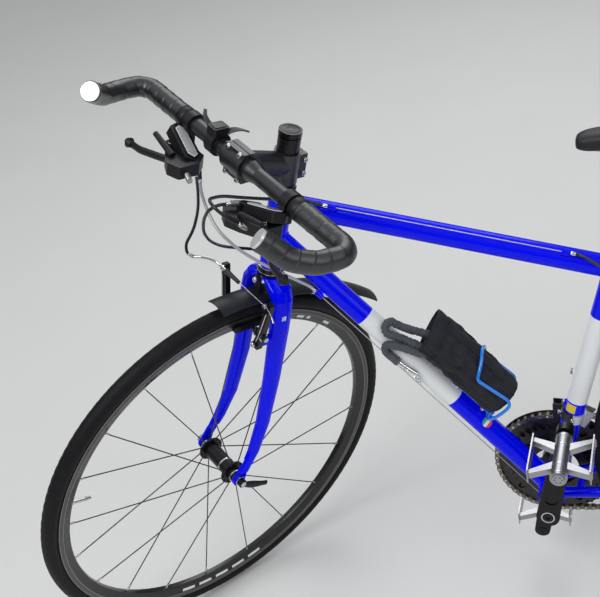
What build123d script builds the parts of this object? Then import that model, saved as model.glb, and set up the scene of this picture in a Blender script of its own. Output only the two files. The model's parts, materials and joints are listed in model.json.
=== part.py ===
# Hybrid bicycle with a bullhorn handlebar and rim brakes, in millimetres.
# Origin: the top of the saddle, where the rider sits. +X points forward, +Y to the rider's left, +Z up.
# Frame pieces are drawn about the bottom bracket's centre, steered pieces about the steering axis,
# wheels about their own hubs and pedals about their own axles. Each is then set in its place.
from build123d import *
from math import acos, asin, atan2, cos, degrees, pi, radians, sin, sqrt, tan
import os

os.makedirs("parts", exist_ok=True)

# Clearances
seat_gap = 0.05          # between pieces of one body that seat on each other
run_gap = 0.1            # radial play of a turning piece on its shaft
face_gap = 0.3           # between faces that turn past each other

# Wheels
wheel_radius = 340.0
tyre_half_width = 14.5
rim_radius = 316.0
rim_depth = 24.0
rim_half_width = 11.0
spoke_radius = 1.0
flange_radius = 22.0
flange_half = 1.6
spoke_seat = 3.3         # from the middle of a flange to a spoke lying on it
spoke_hole_radius = 19.0
front_spoke_count = 20
rear_spoke_count = 24
axle_radius = 4.9

# Frame, measured from the bottom bracket's centre
saddle_back = 225.0      # saddle's top point behind the bottom bracket
saddle_height = 622.0    # and above it
bb_drop = 66.6           # hubs above the bottom bracket
chainstay_x = 408.0      # rear hub behind the bottom bracket
front_centre = 571.5     # front hub ahead of the bottom bracket
head_angle = 70.37
seat_angle = 73.45
fork_rake = 47.1
rest_steer = 53.1        # the bar rests turned to the left

shell_radius = 20.5
shell_half = 34.0
seat_tube_radius = 15.9
seat_tube_length = 465.0
post_radius = 13.6
head_tube_radius = 18.2
head_tube_bore = 17.0
head_bottom = 400.0      # along the steering axis from the foot point nearest the front hub
head_top = 529.0
top_tube_radius = 16.5
top_tube_head = 510.0    # where the top tube's axis meets the steering axis
top_tube_seat = 421.0    # and the seat tube's axis
down_tube_head = 451.0
down_tube_head_radius = 16.5
down_tube_foot_radius = 18.0
chainstay_radius = 8.5
seatstay_radius = 7.5
rear_width = 135.0
front_width = 100.0
dropout_thick = 5.0

housing_radius = 2.5
wire_radius = 0.8

# Steering pieces, measured along the steering axis
steerer_radius = 14.3
crown_top = 384.0
stem_bottom = 550.0
stem_height = 50.0
steerer_top = 626.0
bar_reach = 84.0
bar_rise = 601.0
bar_radius = 12.7
bar_clamp_radius = 15.9
bar_half = 254.0
tape_thick = 3.75
tape_start = 132.0

# Drive
spindle_radius = 8.5
crank_length = 170.0
crank_angle = 103.2      # left arm at rest, counted up from straight ahead
crank_inner = 66.0
crank_thick = 14.0
chain_pitch = 12.7
chain_plane = -54.0
ring_step = 5.5
ring_teeth = (48, 38, 28)
ring_thick = 2.2
sprocket_teeth = (12, 14, 16, 18, 21, 24, 28)
sprocket_step = 5.0
sprocket_thick = 1.8
tooth_root = 4.2         # below the pitch circle
tooth_tip = 2.6          # above it
roller_half = 2.9
pedal_axle_radius = 6.0
pedal_length = 92.0
pedal_gap = 8.0

min_z = (Align.CENTER, Align.CENTER, Align.MIN)
across_y = Plane(origin=(0, 0, 0), x_dir=(1, 0, 0), z_dir=(0, 1, 0))


def seat_point(s):
    """Point on the seat tube's axis, s above the bottom bracket."""
    return Vector(-s * cos(radians(seat_angle)), 0, s * sin(radians(seat_angle)))


seat_fore = Vector(sin(radians(seat_angle)), 0, cos(radians(seat_angle)))
steer_up = Vector(-cos(radians(head_angle)), 0, sin(radians(head_angle)))
steer_fore = Vector(sin(radians(head_angle)), 0, cos(radians(head_angle)))
rear_hub = Vector(-chainstay_x, 0, bb_drop)
steer_foot = Vector(front_centre, 0, bb_drop) - steer_fore * fork_rake


def head_point(s):
    """Point on the steering axis, s above its foot."""
    return steer_foot + steer_up * s


frame_place = Location((saddle_back, 0, -saddle_height))
steer_plane = Plane(origin=steer_foot, x_dir=steer_fore, z_dir=steer_up)
steer_place = frame_place * steer_plane.location * Location((0, 0, 0), (0, 0, rest_steer))
front_wheel_place = steer_place * Location((fork_rake, 0, 0))
rear_wheel_place = frame_place * Location(rear_hub)


def keep(block, label, place):
    """Name a finished piece, set it in its place and write it."""
    piece = block.part.moved(place)
    piece.label = label
    export_step(piece, f"parts/{label}.step")


def rod(start, end, radius, mode=Mode.ADD):
    """Round rod between two points."""
    start = Vector(start)
    end = Vector(end)
    with Locations(Plane(origin=start, z_dir=end - start).location):
        Cylinder(radius, (end - start).length, align=min_z, mode=mode)


def taper(start, end, radius_start, radius_end, mode=Mode.ADD):
    """Round tapered rod between two points."""
    start = Vector(start)
    end = Vector(end)
    with Locations(Plane(origin=start, z_dir=end - start).location):
        Cone(radius_start, radius_end, (end - start).length, align=min_z, mode=mode)


def bent(points, radii, radius, mode=Mode.ADD):
    """Round rod along straight runs joined by arcs."""
    with BuildLine() as path:
        FilletPolyline(*points, radius=radii)
    with BuildSketch(Plane(origin=path.line @ 0, z_dir=path.line % 0)) as section:
        Circle(radius)
    sweep(section.sketch, path=path.line, mode=mode)


def across(x, z, y_low, y_high, radius, mode=Mode.ADD):
    """Round rod parallel to the hubs."""
    rod((x, y_low, z), (x, y_high, z), radius, mode)


def turned(profile, mode=Mode.ADD):
    """Solid of revolution about the Y axis from (radius, y) corners."""
    with BuildSketch(Plane.XY) as section:
        with BuildLine():
            Polyline(*profile, close=True)
        make_face()
    revolve(section.sketch, axis=Axis.Y, mode=mode)


# Wheels, about the hub with the axle along Y
def wheel(name, place, half_width, right_flange, left_flange, spokes, lean):
    """Tyre, rim and spokes of one wheel."""
    bead = rim_radius + seat_gap
    with BuildPart() as tyre:
        turned([(bead, -9.5), (bead + 9, -tyre_half_width), (wheel_radius, -5.5),
                (wheel_radius, 5.5), (bead + 9, tyre_half_width), (bead, 9.5)])
    keep(tyre, f"{name}_tyre", place)

    bed = rim_radius - rim_depth
    with BuildPart() as rim:
        turned([(rim_radius, -rim_half_width), (rim_radius, rim_half_width), (bed + 8, rim_half_width),
                (bed, 6), (bed, -6), (bed + 8, -rim_half_width)])
    keep(rim, f"{name}_rim", place)

    with BuildPart() as spoke_set:
        for i in range(spokes):
            side = 1 if i % 2 == 0 else -1
            trailing = lean > 0 and i // 2 % 2 == 1
            flange = left_flange if side == 1 else right_flange
            face = flange + side * (spoke_seat if not trailing else -spoke_seat)
            rim_angle = 2 * pi * i / spokes
            hub_angle = rim_angle + lean * (-1 if trailing else 1)
            rod((spoke_hole_radius * cos(hub_angle), face, spoke_hole_radius * sin(hub_angle)),
                ((bed - face_gap) * cos(rim_angle), side * 1.5, (bed - face_gap) * sin(rim_angle)),
                spoke_radius)
    keep(spoke_set, f"{name}_spokes", place)


wheel("front", front_wheel_place, front_width / 2, -33.0, 33.0, front_spoke_count, 0.0)
wheel("rear", rear_wheel_place, rear_width / 2, -18.0, 33.0, rear_spoke_count, radians(60))

front_hub_face = front_width / 2 - 4
with BuildPart() as front_hub:
    turned([(axle_radius + run_gap, -front_hub_face), (10, -front_hub_face), (13, -40), (13, -34.6),
            (flange_radius, -34.6), (flange_radius, -31.4), (14, -31.4), (14, 31.4), (flange_radius, 31.4),
            (flange_radius, 34.6), (13, 34.6), (13, 40), (10, front_hub_face),
            (axle_radius + run_gap, front_hub_face)])
keep(front_hub, "front_hub", front_wheel_place)

rear_hub_left = rear_width / 2 - 5
rear_hub_right = chain_plane - 3
with BuildPart() as rear_hub_body:
    turned([(axle_radius + run_gap, rear_hub_right), (15, rear_hub_right), (15, -21), (17, -19.6),
            (flange_radius, -19.6), (flange_radius, -16.4), (16, -16.4), (15, 31.4), (flange_radius, 31.4),
            (flange_radius, 34.6), (13, 34.6), (11, rear_hub_left), (axle_radius + run_gap, rear_hub_left)])
keep(rear_hub_body, "rear_hub", rear_wheel_place)

def toothed(teeth, y, thick, middle=(0.0, 0.0)):
    """Toothed disc across the Y axis: flat-topped teeth on the circle that a chain of this pitch needs."""
    pitch_radius = chain_pitch / 2 / sin(pi / teeth)
    corners = []
    for i in range(teeth):
        tooth = 2 * pi * i / teeth
        half = pi / teeth
        for radius, share in ((pitch_radius - tooth_root, -0.62), (pitch_radius + tooth_tip, -0.22),
                              (pitch_radius + tooth_tip, 0.22), (pitch_radius - tooth_root, 0.62)):
            angle = tooth + half * share
            corners.append((middle[0] + radius * cos(angle), middle[1] + radius * sin(angle)))
    with BuildSketch(Plane.XZ.offset(-y - thick / 2)) as disc:
        with BuildLine():
            Polyline(*corners, close=True)
        make_face()
    extrude(disc.sketch, amount=thick)


with BuildPart() as cassette:
    last = chain_plane + sprocket_step * (len(sprocket_teeth) - 1)
    for i, teeth in enumerate(sprocket_teeth):
        toothed(teeth, chain_plane + sprocket_step * i, sprocket_thick)
    across(0, 0, chain_plane - 1, last + 1, 18.0)
    across(0, 0, chain_plane - 2, last + 2, 15.0 + seat_gap, Mode.SUBTRACT)
keep(cassette, "cassette", rear_wheel_place)


def axle(half, left_nut, right_nut, thick):
    """Quick-release axle about the hub: rod, lock nuts, lever cap and lever."""
    across(0, 0, -half - thick - 9, half + thick + 9, axle_radius)
    across(0, 0, left_nut + face_gap, half, 8.5)
    across(0, 0, -half, right_nut - face_gap, 8.5)
    across(0, 0, half + thick, half + thick + 12, 8.5)
    across(0, 0, -half - thick - 10, -half - thick, 8.0)


with BuildPart() as front_axle:
    axle(front_width / 2, front_hub_face, -front_hub_face, dropout_thick)
    rod((0, front_width / 2 + 13, -4), (-46, front_width / 2 + 19, -16), 4.0)
keep(front_axle, "front_axle", front_wheel_place)

with BuildPart() as rear_axle:
    axle(rear_width / 2, rear_hub_left, rear_hub_right, dropout_thick)
    rod((0, rear_width / 2 + 13, 4), (-40, rear_width / 2 + 19, 30), 4.0)
keep(rear_axle, "rear_axle", rear_wheel_place)

# Points beside the down tube, for its cable stops, bottle cage and pouch
tube_foot = Vector(0, 0, -2)
tube_up = (head_point(down_tube_head) - tube_foot).normalized()
tube_out = Vector(-tube_up.Z, 0, tube_up.X)


def bottle_point(along, out, aside=0.0):
    """Point beside the down tube: along it from the bottom bracket, out from its axis and aside."""
    return tube_foot + tube_up * along + tube_out * out + Vector(0, aside, 0)


# Cable stops: where a housing ends and its bare wire begins
stop_length = 12.0
stop_radius = 4.5
stop_aside = 19.0
left_stop = bottle_point(503, -14, stop_aside)
right_stop = bottle_point(503, -14, -stop_aside)
top_stop = Vector(277, 15, 529)
top_stop_rear = Vector(-62, 15, 438)
top_wire_way = (top_stop_rear - top_stop).normalized()


def cable_stop(end, way, foot):
    """Barrel that takes a housing's end, on a foot from the tube's axis."""
    rod(end + way * seat_gap, end + way * stop_length, stop_radius)
    rod(foot, end + way * stop_length / 2, stop_radius - 1)


# Frame tubes
wire_guide_low = -24.0
with BuildPart() as bottom_bracket:
    across(0, 0, -shell_half, shell_half, shell_radius)
    across(0, 0, -shell_half - 4, shell_half + 4, shell_radius - 3)
    with Locations((0, 0, (wire_guide_low - 12) / 2)):
        Box(16, 30, -wire_guide_low - 12)
    across(0, 0, -shell_half - 5, shell_half + 5, spindle_radius + run_gap, Mode.SUBTRACT)
keep(bottom_bracket, "bottom_bracket", frame_place)


def cut_shell():
    """Mitre against the bottom bracket shell."""
    across(0, 0, -2 * shell_half, 2 * shell_half, shell_radius, Mode.SUBTRACT)


def cut_head():
    """Mitre against the head tube."""
    rod(head_point(head_bottom), head_point(head_top), head_tube_radius, Mode.SUBTRACT)


def cut_seat_tube():
    """Mitre against the seat tube."""
    rod(seat_point(0), seat_point(seat_tube_length), seat_tube_radius, Mode.SUBTRACT)


with BuildPart() as head_tube:
    rod(head_point(head_bottom), head_point(head_top), head_tube_radius)
    rod(head_point(head_bottom), head_point(head_top), head_tube_bore, Mode.SUBTRACT)
keep(head_tube, "head_tube", frame_place)

with BuildPart() as headset_cups:
    for low, high in ((head_bottom - 11.7, head_bottom), (head_top, head_top + 12)):
        rod(head_point(low), head_point(high), head_tube_radius + 2.5)
        rod(head_point(low), head_point(high), steerer_radius + run_gap, Mode.SUBTRACT)
keep(headset_cups, "headset_cups", frame_place)

with BuildPart() as seat_tube:
    rod(seat_point(0), seat_point(seat_tube_length), seat_tube_radius)
    for boss in (168.0, 228.0):
        rod(seat_point(boss), seat_point(boss) + seat_fore * (seat_tube_radius + 2), 5.0)
        rod(seat_point(boss), seat_point(boss) + seat_fore * (seat_tube_radius + 4.3), 3.8)
    rod(seat_point(0), seat_point(seat_tube_length), post_radius + seat_gap, Mode.SUBTRACT)
    cut_shell()
keep(seat_tube, "seat_tube", frame_place)

with BuildPart() as top_tube:
    top_tube_way = (seat_point(top_tube_seat) - head_point(top_tube_head)).normalized()
    rod(head_point(top_tube_head), seat_point(top_tube_seat), top_tube_radius)
    for end, way in ((top_stop, top_wire_way), (top_stop_rear, -top_wire_way)):
        run = (end + way * stop_length / 2 - head_point(top_tube_head)).dot(top_tube_way)
        cable_stop(end, way, head_point(top_tube_head) + top_tube_way * run)
    cut_head()
    cut_seat_tube()
keep(top_tube, "top_tube", frame_place)

with BuildPart() as down_tube:
    taper(head_point(down_tube_head), bottle_point(12, 0), down_tube_head_radius, down_tube_foot_radius)
    for end in (left_stop, right_stop):
        cable_stop(end, -tube_up, bottle_point(503 - stop_length / 2, 0))
    cut_head()
    cut_seat_tube()
    cut_shell()
keep(down_tube, "down_tube", frame_place)

# Rear stays and dropouts
dropout_mid = (rear_width + dropout_thick) / 2
eyelet_radius = 2.5
eyelet_x = -chainstay_x - 8
eyelet_z = bb_drop + 26
hanger = (-chainstay_x + 6, bb_drop - 26)
chainstay_end = Vector(-chainstay_x + 34, 0, bb_drop - 6)
seatstay_end = Vector(-chainstay_x + 12, 0, bb_drop + 30)


def dropout_plate(side, thick, mode):
    """Plate of one rear dropout: round the axle, with a tongue into each stay."""
    with BuildSketch(Plane.XZ.offset(-side * dropout_mid - thick / 2)) as outline:
        for x, z, radius in ((-chainstay_x, bb_drop, 15), (chainstay_end.X, chainstay_end.Z, 7),
                             (seatstay_end.X, seatstay_end.Z, 7), (eyelet_x, eyelet_z, eyelet_radius + 3.5)):
            with Locations((x, z)):
                Circle(radius)
        make_hull()
    extrude(outline.sketch, amount=thick, mode=mode)


def dropout_hanger(side):
    """Tab below the right dropout that carries the rear derailleur."""
    with BuildSketch(Plane.XZ.offset(-side * dropout_mid - dropout_thick / 2)) as tab:
        with Locations((-chainstay_x, bb_drop)):
            Circle(14)
        with Locations(hanger):
            Circle(9)
        make_hull()
    extrude(tab.sketch, amount=dropout_thick)


stay_top = seat_point(top_tube_seat + 4)
stay_low = Vector(seatstay_end.X, dropout_mid, seatstay_end.Z)
stay_high = Vector(stay_top.X - 3, 14, stay_top.Z)
stay_way = (stay_high - stay_low).normalized()
stay_up = Vector(stay_way.X, 0, stay_way.Z).normalized()
stay_back = Vector(-stay_up.Z, 0, stay_up.X)
rear_boss = 258.0        # brake bosses along the seat stays
rear_boss_point = stay_low + stay_way * rear_boss
rear_arm_back = 13.0


def on_side(point, side):
    """The point itself on the left, or its mirror image on the right."""
    return Vector(point.X, side * point.Y, point.Z)


for name, side in (("left", 1), ("right", -1)):
    with BuildPart() as chainstay:
        rod((-12, side * 22, 2), (chainstay_end.X, side * dropout_mid, chainstay_end.Z), chainstay_radius)
        cut_shell()
        cut_seat_tube()
        dropout_plate(side, dropout_thick + 2 * seat_gap, Mode.SUBTRACT)
    keep(chainstay, f"chainstay_{name}", frame_place)

    with BuildPart() as seatstay:
        rod(on_side(stay_high, side), on_side(stay_low, side), seatstay_radius)
        boss = on_side(rear_boss_point, side)
        rod(boss, boss + stay_back * (rear_arm_back - seat_gap), 6.5)
        cut_seat_tube()
        rod(head_point(top_tube_head), seat_point(top_tube_seat), top_tube_radius, Mode.SUBTRACT)
        dropout_plate(side, dropout_thick + 2 * seat_gap, Mode.SUBTRACT)
    keep(seatstay, f"seatstay_{name}", frame_place)

    with BuildPart() as dropout:
        dropout_plate(side, dropout_thick, Mode.ADD)
        if side == -1:
            dropout_hanger(side)
        y = side * dropout_mid
        across(-chainstay_x, bb_drop, y - 9, y + 9, axle_radius + run_gap, Mode.SUBTRACT)
        with Locations((-chainstay_x - 3, y, bb_drop - 12)):
            Box(2 * (axle_radius + run_gap), 18, 24, rotation=(0, 14, 0), mode=Mode.SUBTRACT)
        across(eyelet_x, eyelet_z, y - 9, y + 9, eyelet_radius, Mode.SUBTRACT)
    keep(dropout, f"dropout_{name}", frame_place)

with BuildPart() as stay_bridges:
    across(-46, 8, -30, 30, 6.0)
    bridge = rear_hub + (stay_top - rear_hub).normalized() * (wheel_radius + 22)
    across(bridge.X, bridge.Z, -24, 24, 6.0)
    for side in (1, -1):
        rod((-12, side * 22, 2), (chainstay_end.X, side * dropout_mid, chainstay_end.Z),
            chainstay_radius + seat_gap, Mode.SUBTRACT)
        rod(on_side(stay_high, side), on_side(stay_low, side), seatstay_radius + seat_gap, Mode.SUBTRACT)
        for part_y in (side * 40,):
            with Locations((bridge.X, part_y, bridge.Z), (-46, part_y, 8)):
                Box(60, 24, 60, mode=Mode.SUBTRACT)
keep(stay_bridges, "stay_bridges", frame_place)

# Seat: clamp, post, rails and saddle
with BuildPart() as seat_clamp:
    rod(seat_point(seat_tube_length - 14), seat_point(seat_tube_length + 2), seat_tube_radius + 4)
    rod(seat_point(seat_tube_length - 20), seat_point(seat_tube_length), seat_tube_radius + seat_gap,
        Mode.SUBTRACT)
    rod(seat_point(seat_tube_length - 20), seat_point(seat_tube_length + 5), post_radius + seat_gap,
        Mode.SUBTRACT)
    clamp = seat_point(seat_tube_length - 6)
    across(clamp.X - 22, clamp.Z - 6, -14, 14, 5.0)
keep(seat_clamp, "seat_clamp", frame_place)

rail_radius = 3.5
rail_half = 22.0
rail_low = 578.0
post_top = 572.0
clamp_x = -196.0
with BuildPart() as seatpost:
    rod(seat_point(300), seat_point(post_top), post_radius)
    head = seat_point(post_top)
    across(head.X - 6, head.Z - 2, -20, 20, 15.0)
    rod((head.X - 6, 0, head.Z - 2), (clamp_x, 0, rail_low - 8), 11.0)
    with Locations((clamp_x, 0, rail_low)):
        Box(38, 58, 17)
    for side in (1, -1):
        rod((clamp_x - 40, side * rail_half, rail_low), (clamp_x + 40, side * rail_half, rail_low),
            rail_radius + seat_gap, Mode.SUBTRACT)
keep(seatpost, "seatpost", frame_place)

saddle_nose = -80.0
shell_z = 594.0
with BuildPart() as saddle_rails:
    for side in (1, -1):
        bent([(-104, side * 12, shell_z + 2), (-140, side * 16, rail_low + 8),
              (-166, side * rail_half, rail_low), (-236, side * rail_half, rail_low),
              (-290, side * 34, shell_z - 6), (-316, side * 42, shell_z + 8)],
             [20, 30, 40, 40], rail_radius)
keep(saddle_rails, "saddle_rails", frame_place)

saddle_sections = (
    # behind the nose, half width, crown height, underside
    (0.0, 12.0, saddle_height - 15, shell_z + 1),
    (6.0, 17.5, saddle_height - 10, shell_z - 2),
    (22.0, 20.0, saddle_height - 6, shell_z - 3),
    (70.0, 22.0, saddle_height - 3.5, shell_z - 2),
    (115.0, 26.0, saddle_height - 1, shell_z),
    (145.0, 40.0, saddle_height, shell_z + 2),
    (180.0, 64.0, saddle_height + 2, shell_z + 4),
    (215.0, 78.0, saddle_height + 5, shell_z + 5),
    (245.0, 78.0, saddle_height + 8, shell_z + 9),
    (262.0, 66.0, saddle_height + 8, shell_z + 16),
    (270.0, 46.0, saddle_height + 5, shell_z + 22),
)
with BuildPart() as saddle:
    outlines = []
    for behind, half, crown, under in saddle_sections:
        with BuildSketch(Plane.YZ.offset(saddle_nose - behind)) as outline:
            with BuildLine():
                edge = under + 0.35 * (crown - under)
                Spline((-half, edge), (-0.9 * half, crown - 0.3 * (crown - edge)), (-0.5 * half, crown - 0.5),
                       (0, crown), (0.5 * half, crown - 0.5), (0.9 * half, crown - 0.3 * (crown - edge)), (half, edge))
                Polyline((half, edge), (0.84 * half, under), (-0.84 * half, under), (-half, edge))
            make_face()
        outlines.append(outline.sketch)
    loft(outlines)
    for side in (1, -1):
        bent([(-104, side * 12, shell_z + 2), (-140, side * 16, rail_low + 8),
              (-166, side * rail_half, rail_low), (-236, side * rail_half, rail_low),
              (-290, side * 34, shell_z - 6), (-316, side * 42, shell_z + 8)],
             [20, 30, 40, 40], rail_radius + face_gap, Mode.SUBTRACT)
keep(saddle, "saddle", frame_place)

# Steering, about the steering axis: x ahead, y to the left, z up the axis
with BuildPart() as fork_steerer:
    rod((0, 0, crown_top), (0, 0, steerer_top), steerer_radius)
    rod((0, 0, crown_top), (0, 0, crown_top + 4), head_tube_radius + 1)
keep(fork_steerer, "fork_steerer", steer_place)

blade_sections = (
    # height, ahead, aside, half depth, half width
    (crown_top, 0.0, 8.0, 20.0, 16.0),
    (crown_top - 12, 0.0, 25.0, 20.0, 18.0),
    (crown_top - 27, 0.0, 37.0, 19.0, 14.5),
    (crown_top - 46, 0.0, 40.0, 18.5, 13.5),
    (300.0, 0.0, 41.5, 18.0, 13.0),
    (200.0, 1.0, 43.0, 15.5, 12.0),
    (110.0, 9.0, 47.0, 12.5, 10.5),
    (55.0, 23.0, 51.0, 10.5, 9.0),
    (18.0, 39.0, 53.0, 8.5, 7.0),
)
front_drop_mid = (front_width + dropout_thick) / 2
boss_out = 41.0
boss_height = 286.0
brake_ahead = 40.0
for name, side in (("left", 1), ("right", -1)):
    with BuildPart() as fork_blade:
        outlines = []
        for height, ahead, aside, depth, width in blade_sections:
            with BuildSketch(Plane((ahead, side * aside, height))) as outline:
                Ellipse(depth, width)
            outlines.append(outline.sketch)
        loft(outlines, ruled=True)
        with Locations((0, -side * 50, crown_top - 20)):
            Box(100, 100, 80, mode=Mode.SUBTRACT)
        with BuildSketch(Plane.XZ.offset(-side * front_drop_mid - dropout_thick / 2)) as tip:
            with Locations((fork_rake, 0)):
                Circle(12)
            with Locations((38, 28)):
                Circle(7)
            make_hull()
        extrude(tip.sketch, amount=dropout_thick)
        y = side * front_drop_mid
        with Locations((0, y - side * (dropout_thick / 2 + 10), 10)):
            Box(200, 20, 60, mode=Mode.SUBTRACT)
        across(fork_rake, 0, y - 9, y + 9, axle_radius + run_gap, Mode.SUBTRACT)
        with Locations((fork_rake, y, -12)):
            Box(2 * (axle_radius + run_gap), 18, 24, mode=Mode.SUBTRACT)
        rod((0, side * boss_out, boss_height), (brake_ahead - 5, side * boss_out, boss_height), 8.0)
    keep(fork_blade, f"fork_blade_{name}", steer_place)

with BuildPart() as stem_spacers:
    for low, high, radius in ((head_top + 12 + face_gap, stem_bottom - 3, 19.0), (stem_bottom - 3, stem_bottom, 17.5),
                              (stem_bottom + stem_height, stem_bottom + stem_height + 24, 17.0)):
        rod((0, 0, low), (0, 0, high), radius)
    rod((0, 0, head_top), (0, 0, stem_bottom + stem_height + 30), steerer_radius + seat_gap, Mode.SUBTRACT)
    rod((0, 0, steerer_top + seat_gap), (0, 0, steerer_top + 8), 17.5)
keep(stem_spacers, "stem_spacers", steer_place)

clamp_half = 22.0
with BuildPart() as stem:
    rod((0, 0, stem_bottom), (0, 0, stem_bottom + stem_height), 20.0)
    taper((0, 0, stem_bottom + 26), (bar_reach, 0, bar_rise), 19.0, 16.0)
    across(bar_reach, bar_rise, -clamp_half, clamp_half, bar_clamp_radius + 5)
    with Locations((bar_reach + 2, 0, bar_rise)):
        Box(20, 2 * clamp_half, 2 * bar_clamp_radius + 14)
    with Locations((bar_reach + 2, 0, bar_rise)):
        Box(1.6, 2 * clamp_half + 2, 3 * bar_clamp_radius, mode=Mode.SUBTRACT)
    for y in (clamp_half - 8, 8 - clamp_half):
        for z in (bar_rise - bar_clamp_radius - 3.6, bar_rise + bar_clamp_radius + 3.6):
            rod((bar_reach - 6, y, z), (bar_reach + 14.5, y, z), 2.8)
    across(bar_reach, bar_rise, -40, 40, bar_clamp_radius + seat_gap, Mode.SUBTRACT)
    rod((0, 0, head_top), (0, 0, stem_bottom + stem_height + 30), steerer_radius + seat_gap, Mode.SUBTRACT)
    with Locations((-22, 0, stem_bottom + 24)):
        Box(14, 24, stem_height - 10)
    with Locations((-24, 0, stem_bottom + 24)):
        Box(22, 2, stem_height, mode=Mode.SUBTRACT)
    rod((0, 0, head_top), (0, 0, stem_bottom + stem_height + 30), steerer_radius + seat_gap, Mode.SUBTRACT)
keep(stem, "stem", steer_place)

horn_turns = [24, 70, 40]


def horn(side, start):
    """Route of one end of the bar from a distance off centre: out, round the bend and forward."""
    return [(bar_reach, side * start, bar_rise), (bar_reach, side * bar_half, bar_rise),
            (bar_reach + 56, side * (bar_half - 4), bar_rise), (bar_reach + 88, side * (bar_half - 18), bar_rise + 6),
            (bar_reach + 121, side * (bar_half - 44), bar_rise + 31)]


with BuildPart() as handlebar:
    across(bar_reach, bar_rise, -120, 120, bar_radius)
    across(bar_reach, bar_rise, -30, 30, bar_clamp_radius)
    for side in (1, -1):
        taper((bar_reach, side * 30, bar_rise), (bar_reach, side * 46, bar_rise), bar_clamp_radius, bar_radius)
        bent(horn(side, 120), horn_turns, bar_radius)
keep(handlebar, "handlebar", steer_place)

for name, side in (("left", 1), ("right", -1)):
    with BuildPart() as bar_tape:
        bent(horn(side, tape_start), horn_turns, bar_radius + tape_thick)
        bent(horn(side, tape_start), horn_turns, bar_radius + seat_gap, Mode.SUBTRACT)
    keep(bar_tape, f"bar_tape_{name}", steer_place)

with BuildPart() as bar_end_plugs:
    for side in (1, -1):
        route = horn(side, tape_start)
        tip = Vector(route[-1])
        out = (tip - Vector(route[-2])).normalized()
        rod(tip + out * seat_gap, tip + out * 4, 14.0)
keep(bar_end_plugs, "bar_end_plugs", steer_place)

# Combined brake and shift units: a tilted deck under the gear window, a lower body, a thumb paddle and barrels
deck_middle = Vector(bar_reach + 26, 98, bar_rise - 14)
deck_way = Vector(-11, 65, 19)
deck_normal = Vector(-0.231, -0.309, 0.923)
deck_outline = ((-40, 0), (-31, -15), (31, -15), (40, 0), (31, 15), (-31, 15))
window_outline = ((-34, 0), (-27, -9.5), (27, -9.5), (34, 0), (27, 9.5), (-27, 9.5))
deck_thick = 14.0
body_bottom = bar_rise - 45
barrels = {
    # start, end and radius of each cable barrel, by side
    1: (((144.96, 100.01, 568.97), (133.4, 103.3, 561.8), 3.6), ((140.95, 66.02, 584), (130, 71.2, 585.3), 3.6),
        ((131, 70.7, 585.2), (133, 72, 570), 4.0)),
    -1: (((102.02, -77.99, 545.05), (105.8, -75.7, 557.5), 3.4), ((98.01, -71.99, 537.05), (102.5, -70.2, 558.5), 3.1)),
}


def deck_plane(side):
    """Plane of the tilted deck that carries a gear window."""
    return Plane(origin=on_side(deck_middle, side), x_dir=on_side(deck_way, side), z_dir=on_side(deck_normal, side))


for name, side in (("left", 1), ("right", -1)):
    with BuildPart() as control:
        across(bar_reach, bar_rise, min(side * 112, side * 128), max(side * 112, side * 128), bar_radius + 4.5)
        with Locations((bar_reach + 10, side * 120, bar_rise - 22)):
            Box(20, 14, 14)
        with BuildSketch(deck_plane(side)) as deck:
            with BuildLine():
                Polyline(*deck_outline, close=True)
            make_face()
            fillet(deck.vertices(), 4)
        extrude(deck.sketch, amount=-deck_thick)
        with BuildSketch(Plane.XY.offset(body_bottom)) as body_plan:
            with BuildLine():
                Polyline((bar_reach + 14, side * 130), (bar_reach + 40, side * 130), (bar_reach + 62, side * 96),
                         (bar_reach + 72, side * 74), (bar_reach + 64, side * 54), (bar_reach + 30, side * 54),
                         (bar_reach + 12, side * 70), (bar_reach + 12, side * 96), close=True)
            make_face()
            fillet(body_plan.vertices(), 5)
        extrude(body_plan.sketch, amount=20)
        taper((bar_reach + 56, side * 86, bar_rise - 24), (bar_reach + 56, side * 134, bar_rise - 12), 5.5, 4.2)
        for start, end, radius in barrels[side]:
            rod(start, end, radius)
        across(bar_reach, bar_rise, -140, 140, bar_radius + seat_gap, Mode.SUBTRACT)
        across(bar_reach, bar_rise, min(side * (tape_start - 2), side * 150), max(side * (tape_start - 2), side * 150),
               bar_radius + tape_thick + face_gap, Mode.SUBTRACT)
    keep(control, f"control_{name}", steer_place)

with BuildPart() as gear_windows:
    for side in (1, -1):
        with BuildSketch(deck_plane(side).offset(seat_gap)) as window:
            with BuildLine():
                Polyline(*window_outline, close=True)
            make_face()
            fillet(window.vertices(), 3)
        extrude(window.sketch, amount=2)
    across(bar_reach, bar_rise, -130, 130, bar_radius + 4.5 + seat_gap, Mode.SUBTRACT)
keep(gear_windows, "gear_windows", steer_place)

with BuildPart() as brake_levers:
    for side in (1, -1):
        rod((bar_reach + 38, side * 118, body_bottom - 12), (bar_reach + 38, side * 118, body_bottom - seat_gap), 4.0)
        tip = (bar_reach + 60, side * 198, body_bottom - 14)
        with BuildLine() as blade_line:
            FilletPolyline((bar_reach + 34, side * 110, body_bottom - 8), (bar_reach + 46, side * 138, body_bottom - 10),
                           (bar_reach + 58, side * 170, body_bottom - 13), tip, radius=[30, 40])
        with BuildSketch(Plane(origin=blade_line.line @ 0, x_dir=(0, 0, 1), z_dir=blade_line.line % 0)) as blade:
            Ellipse(6.5, 3.2)
        sweep(blade.sketch, path=blade_line.line)
        for start, end, radius_start, radius_end in ((-9, -2, 5.0, 8.4), (-2, 5, 8.4, 4.5)):
            taper((tip[0], tip[1] + side * start, tip[2]), (tip[0], tip[1] + side * end, tip[2]),
                  radius_start, radius_end)
keep(brake_levers, "brake_levers", steer_place)

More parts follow.
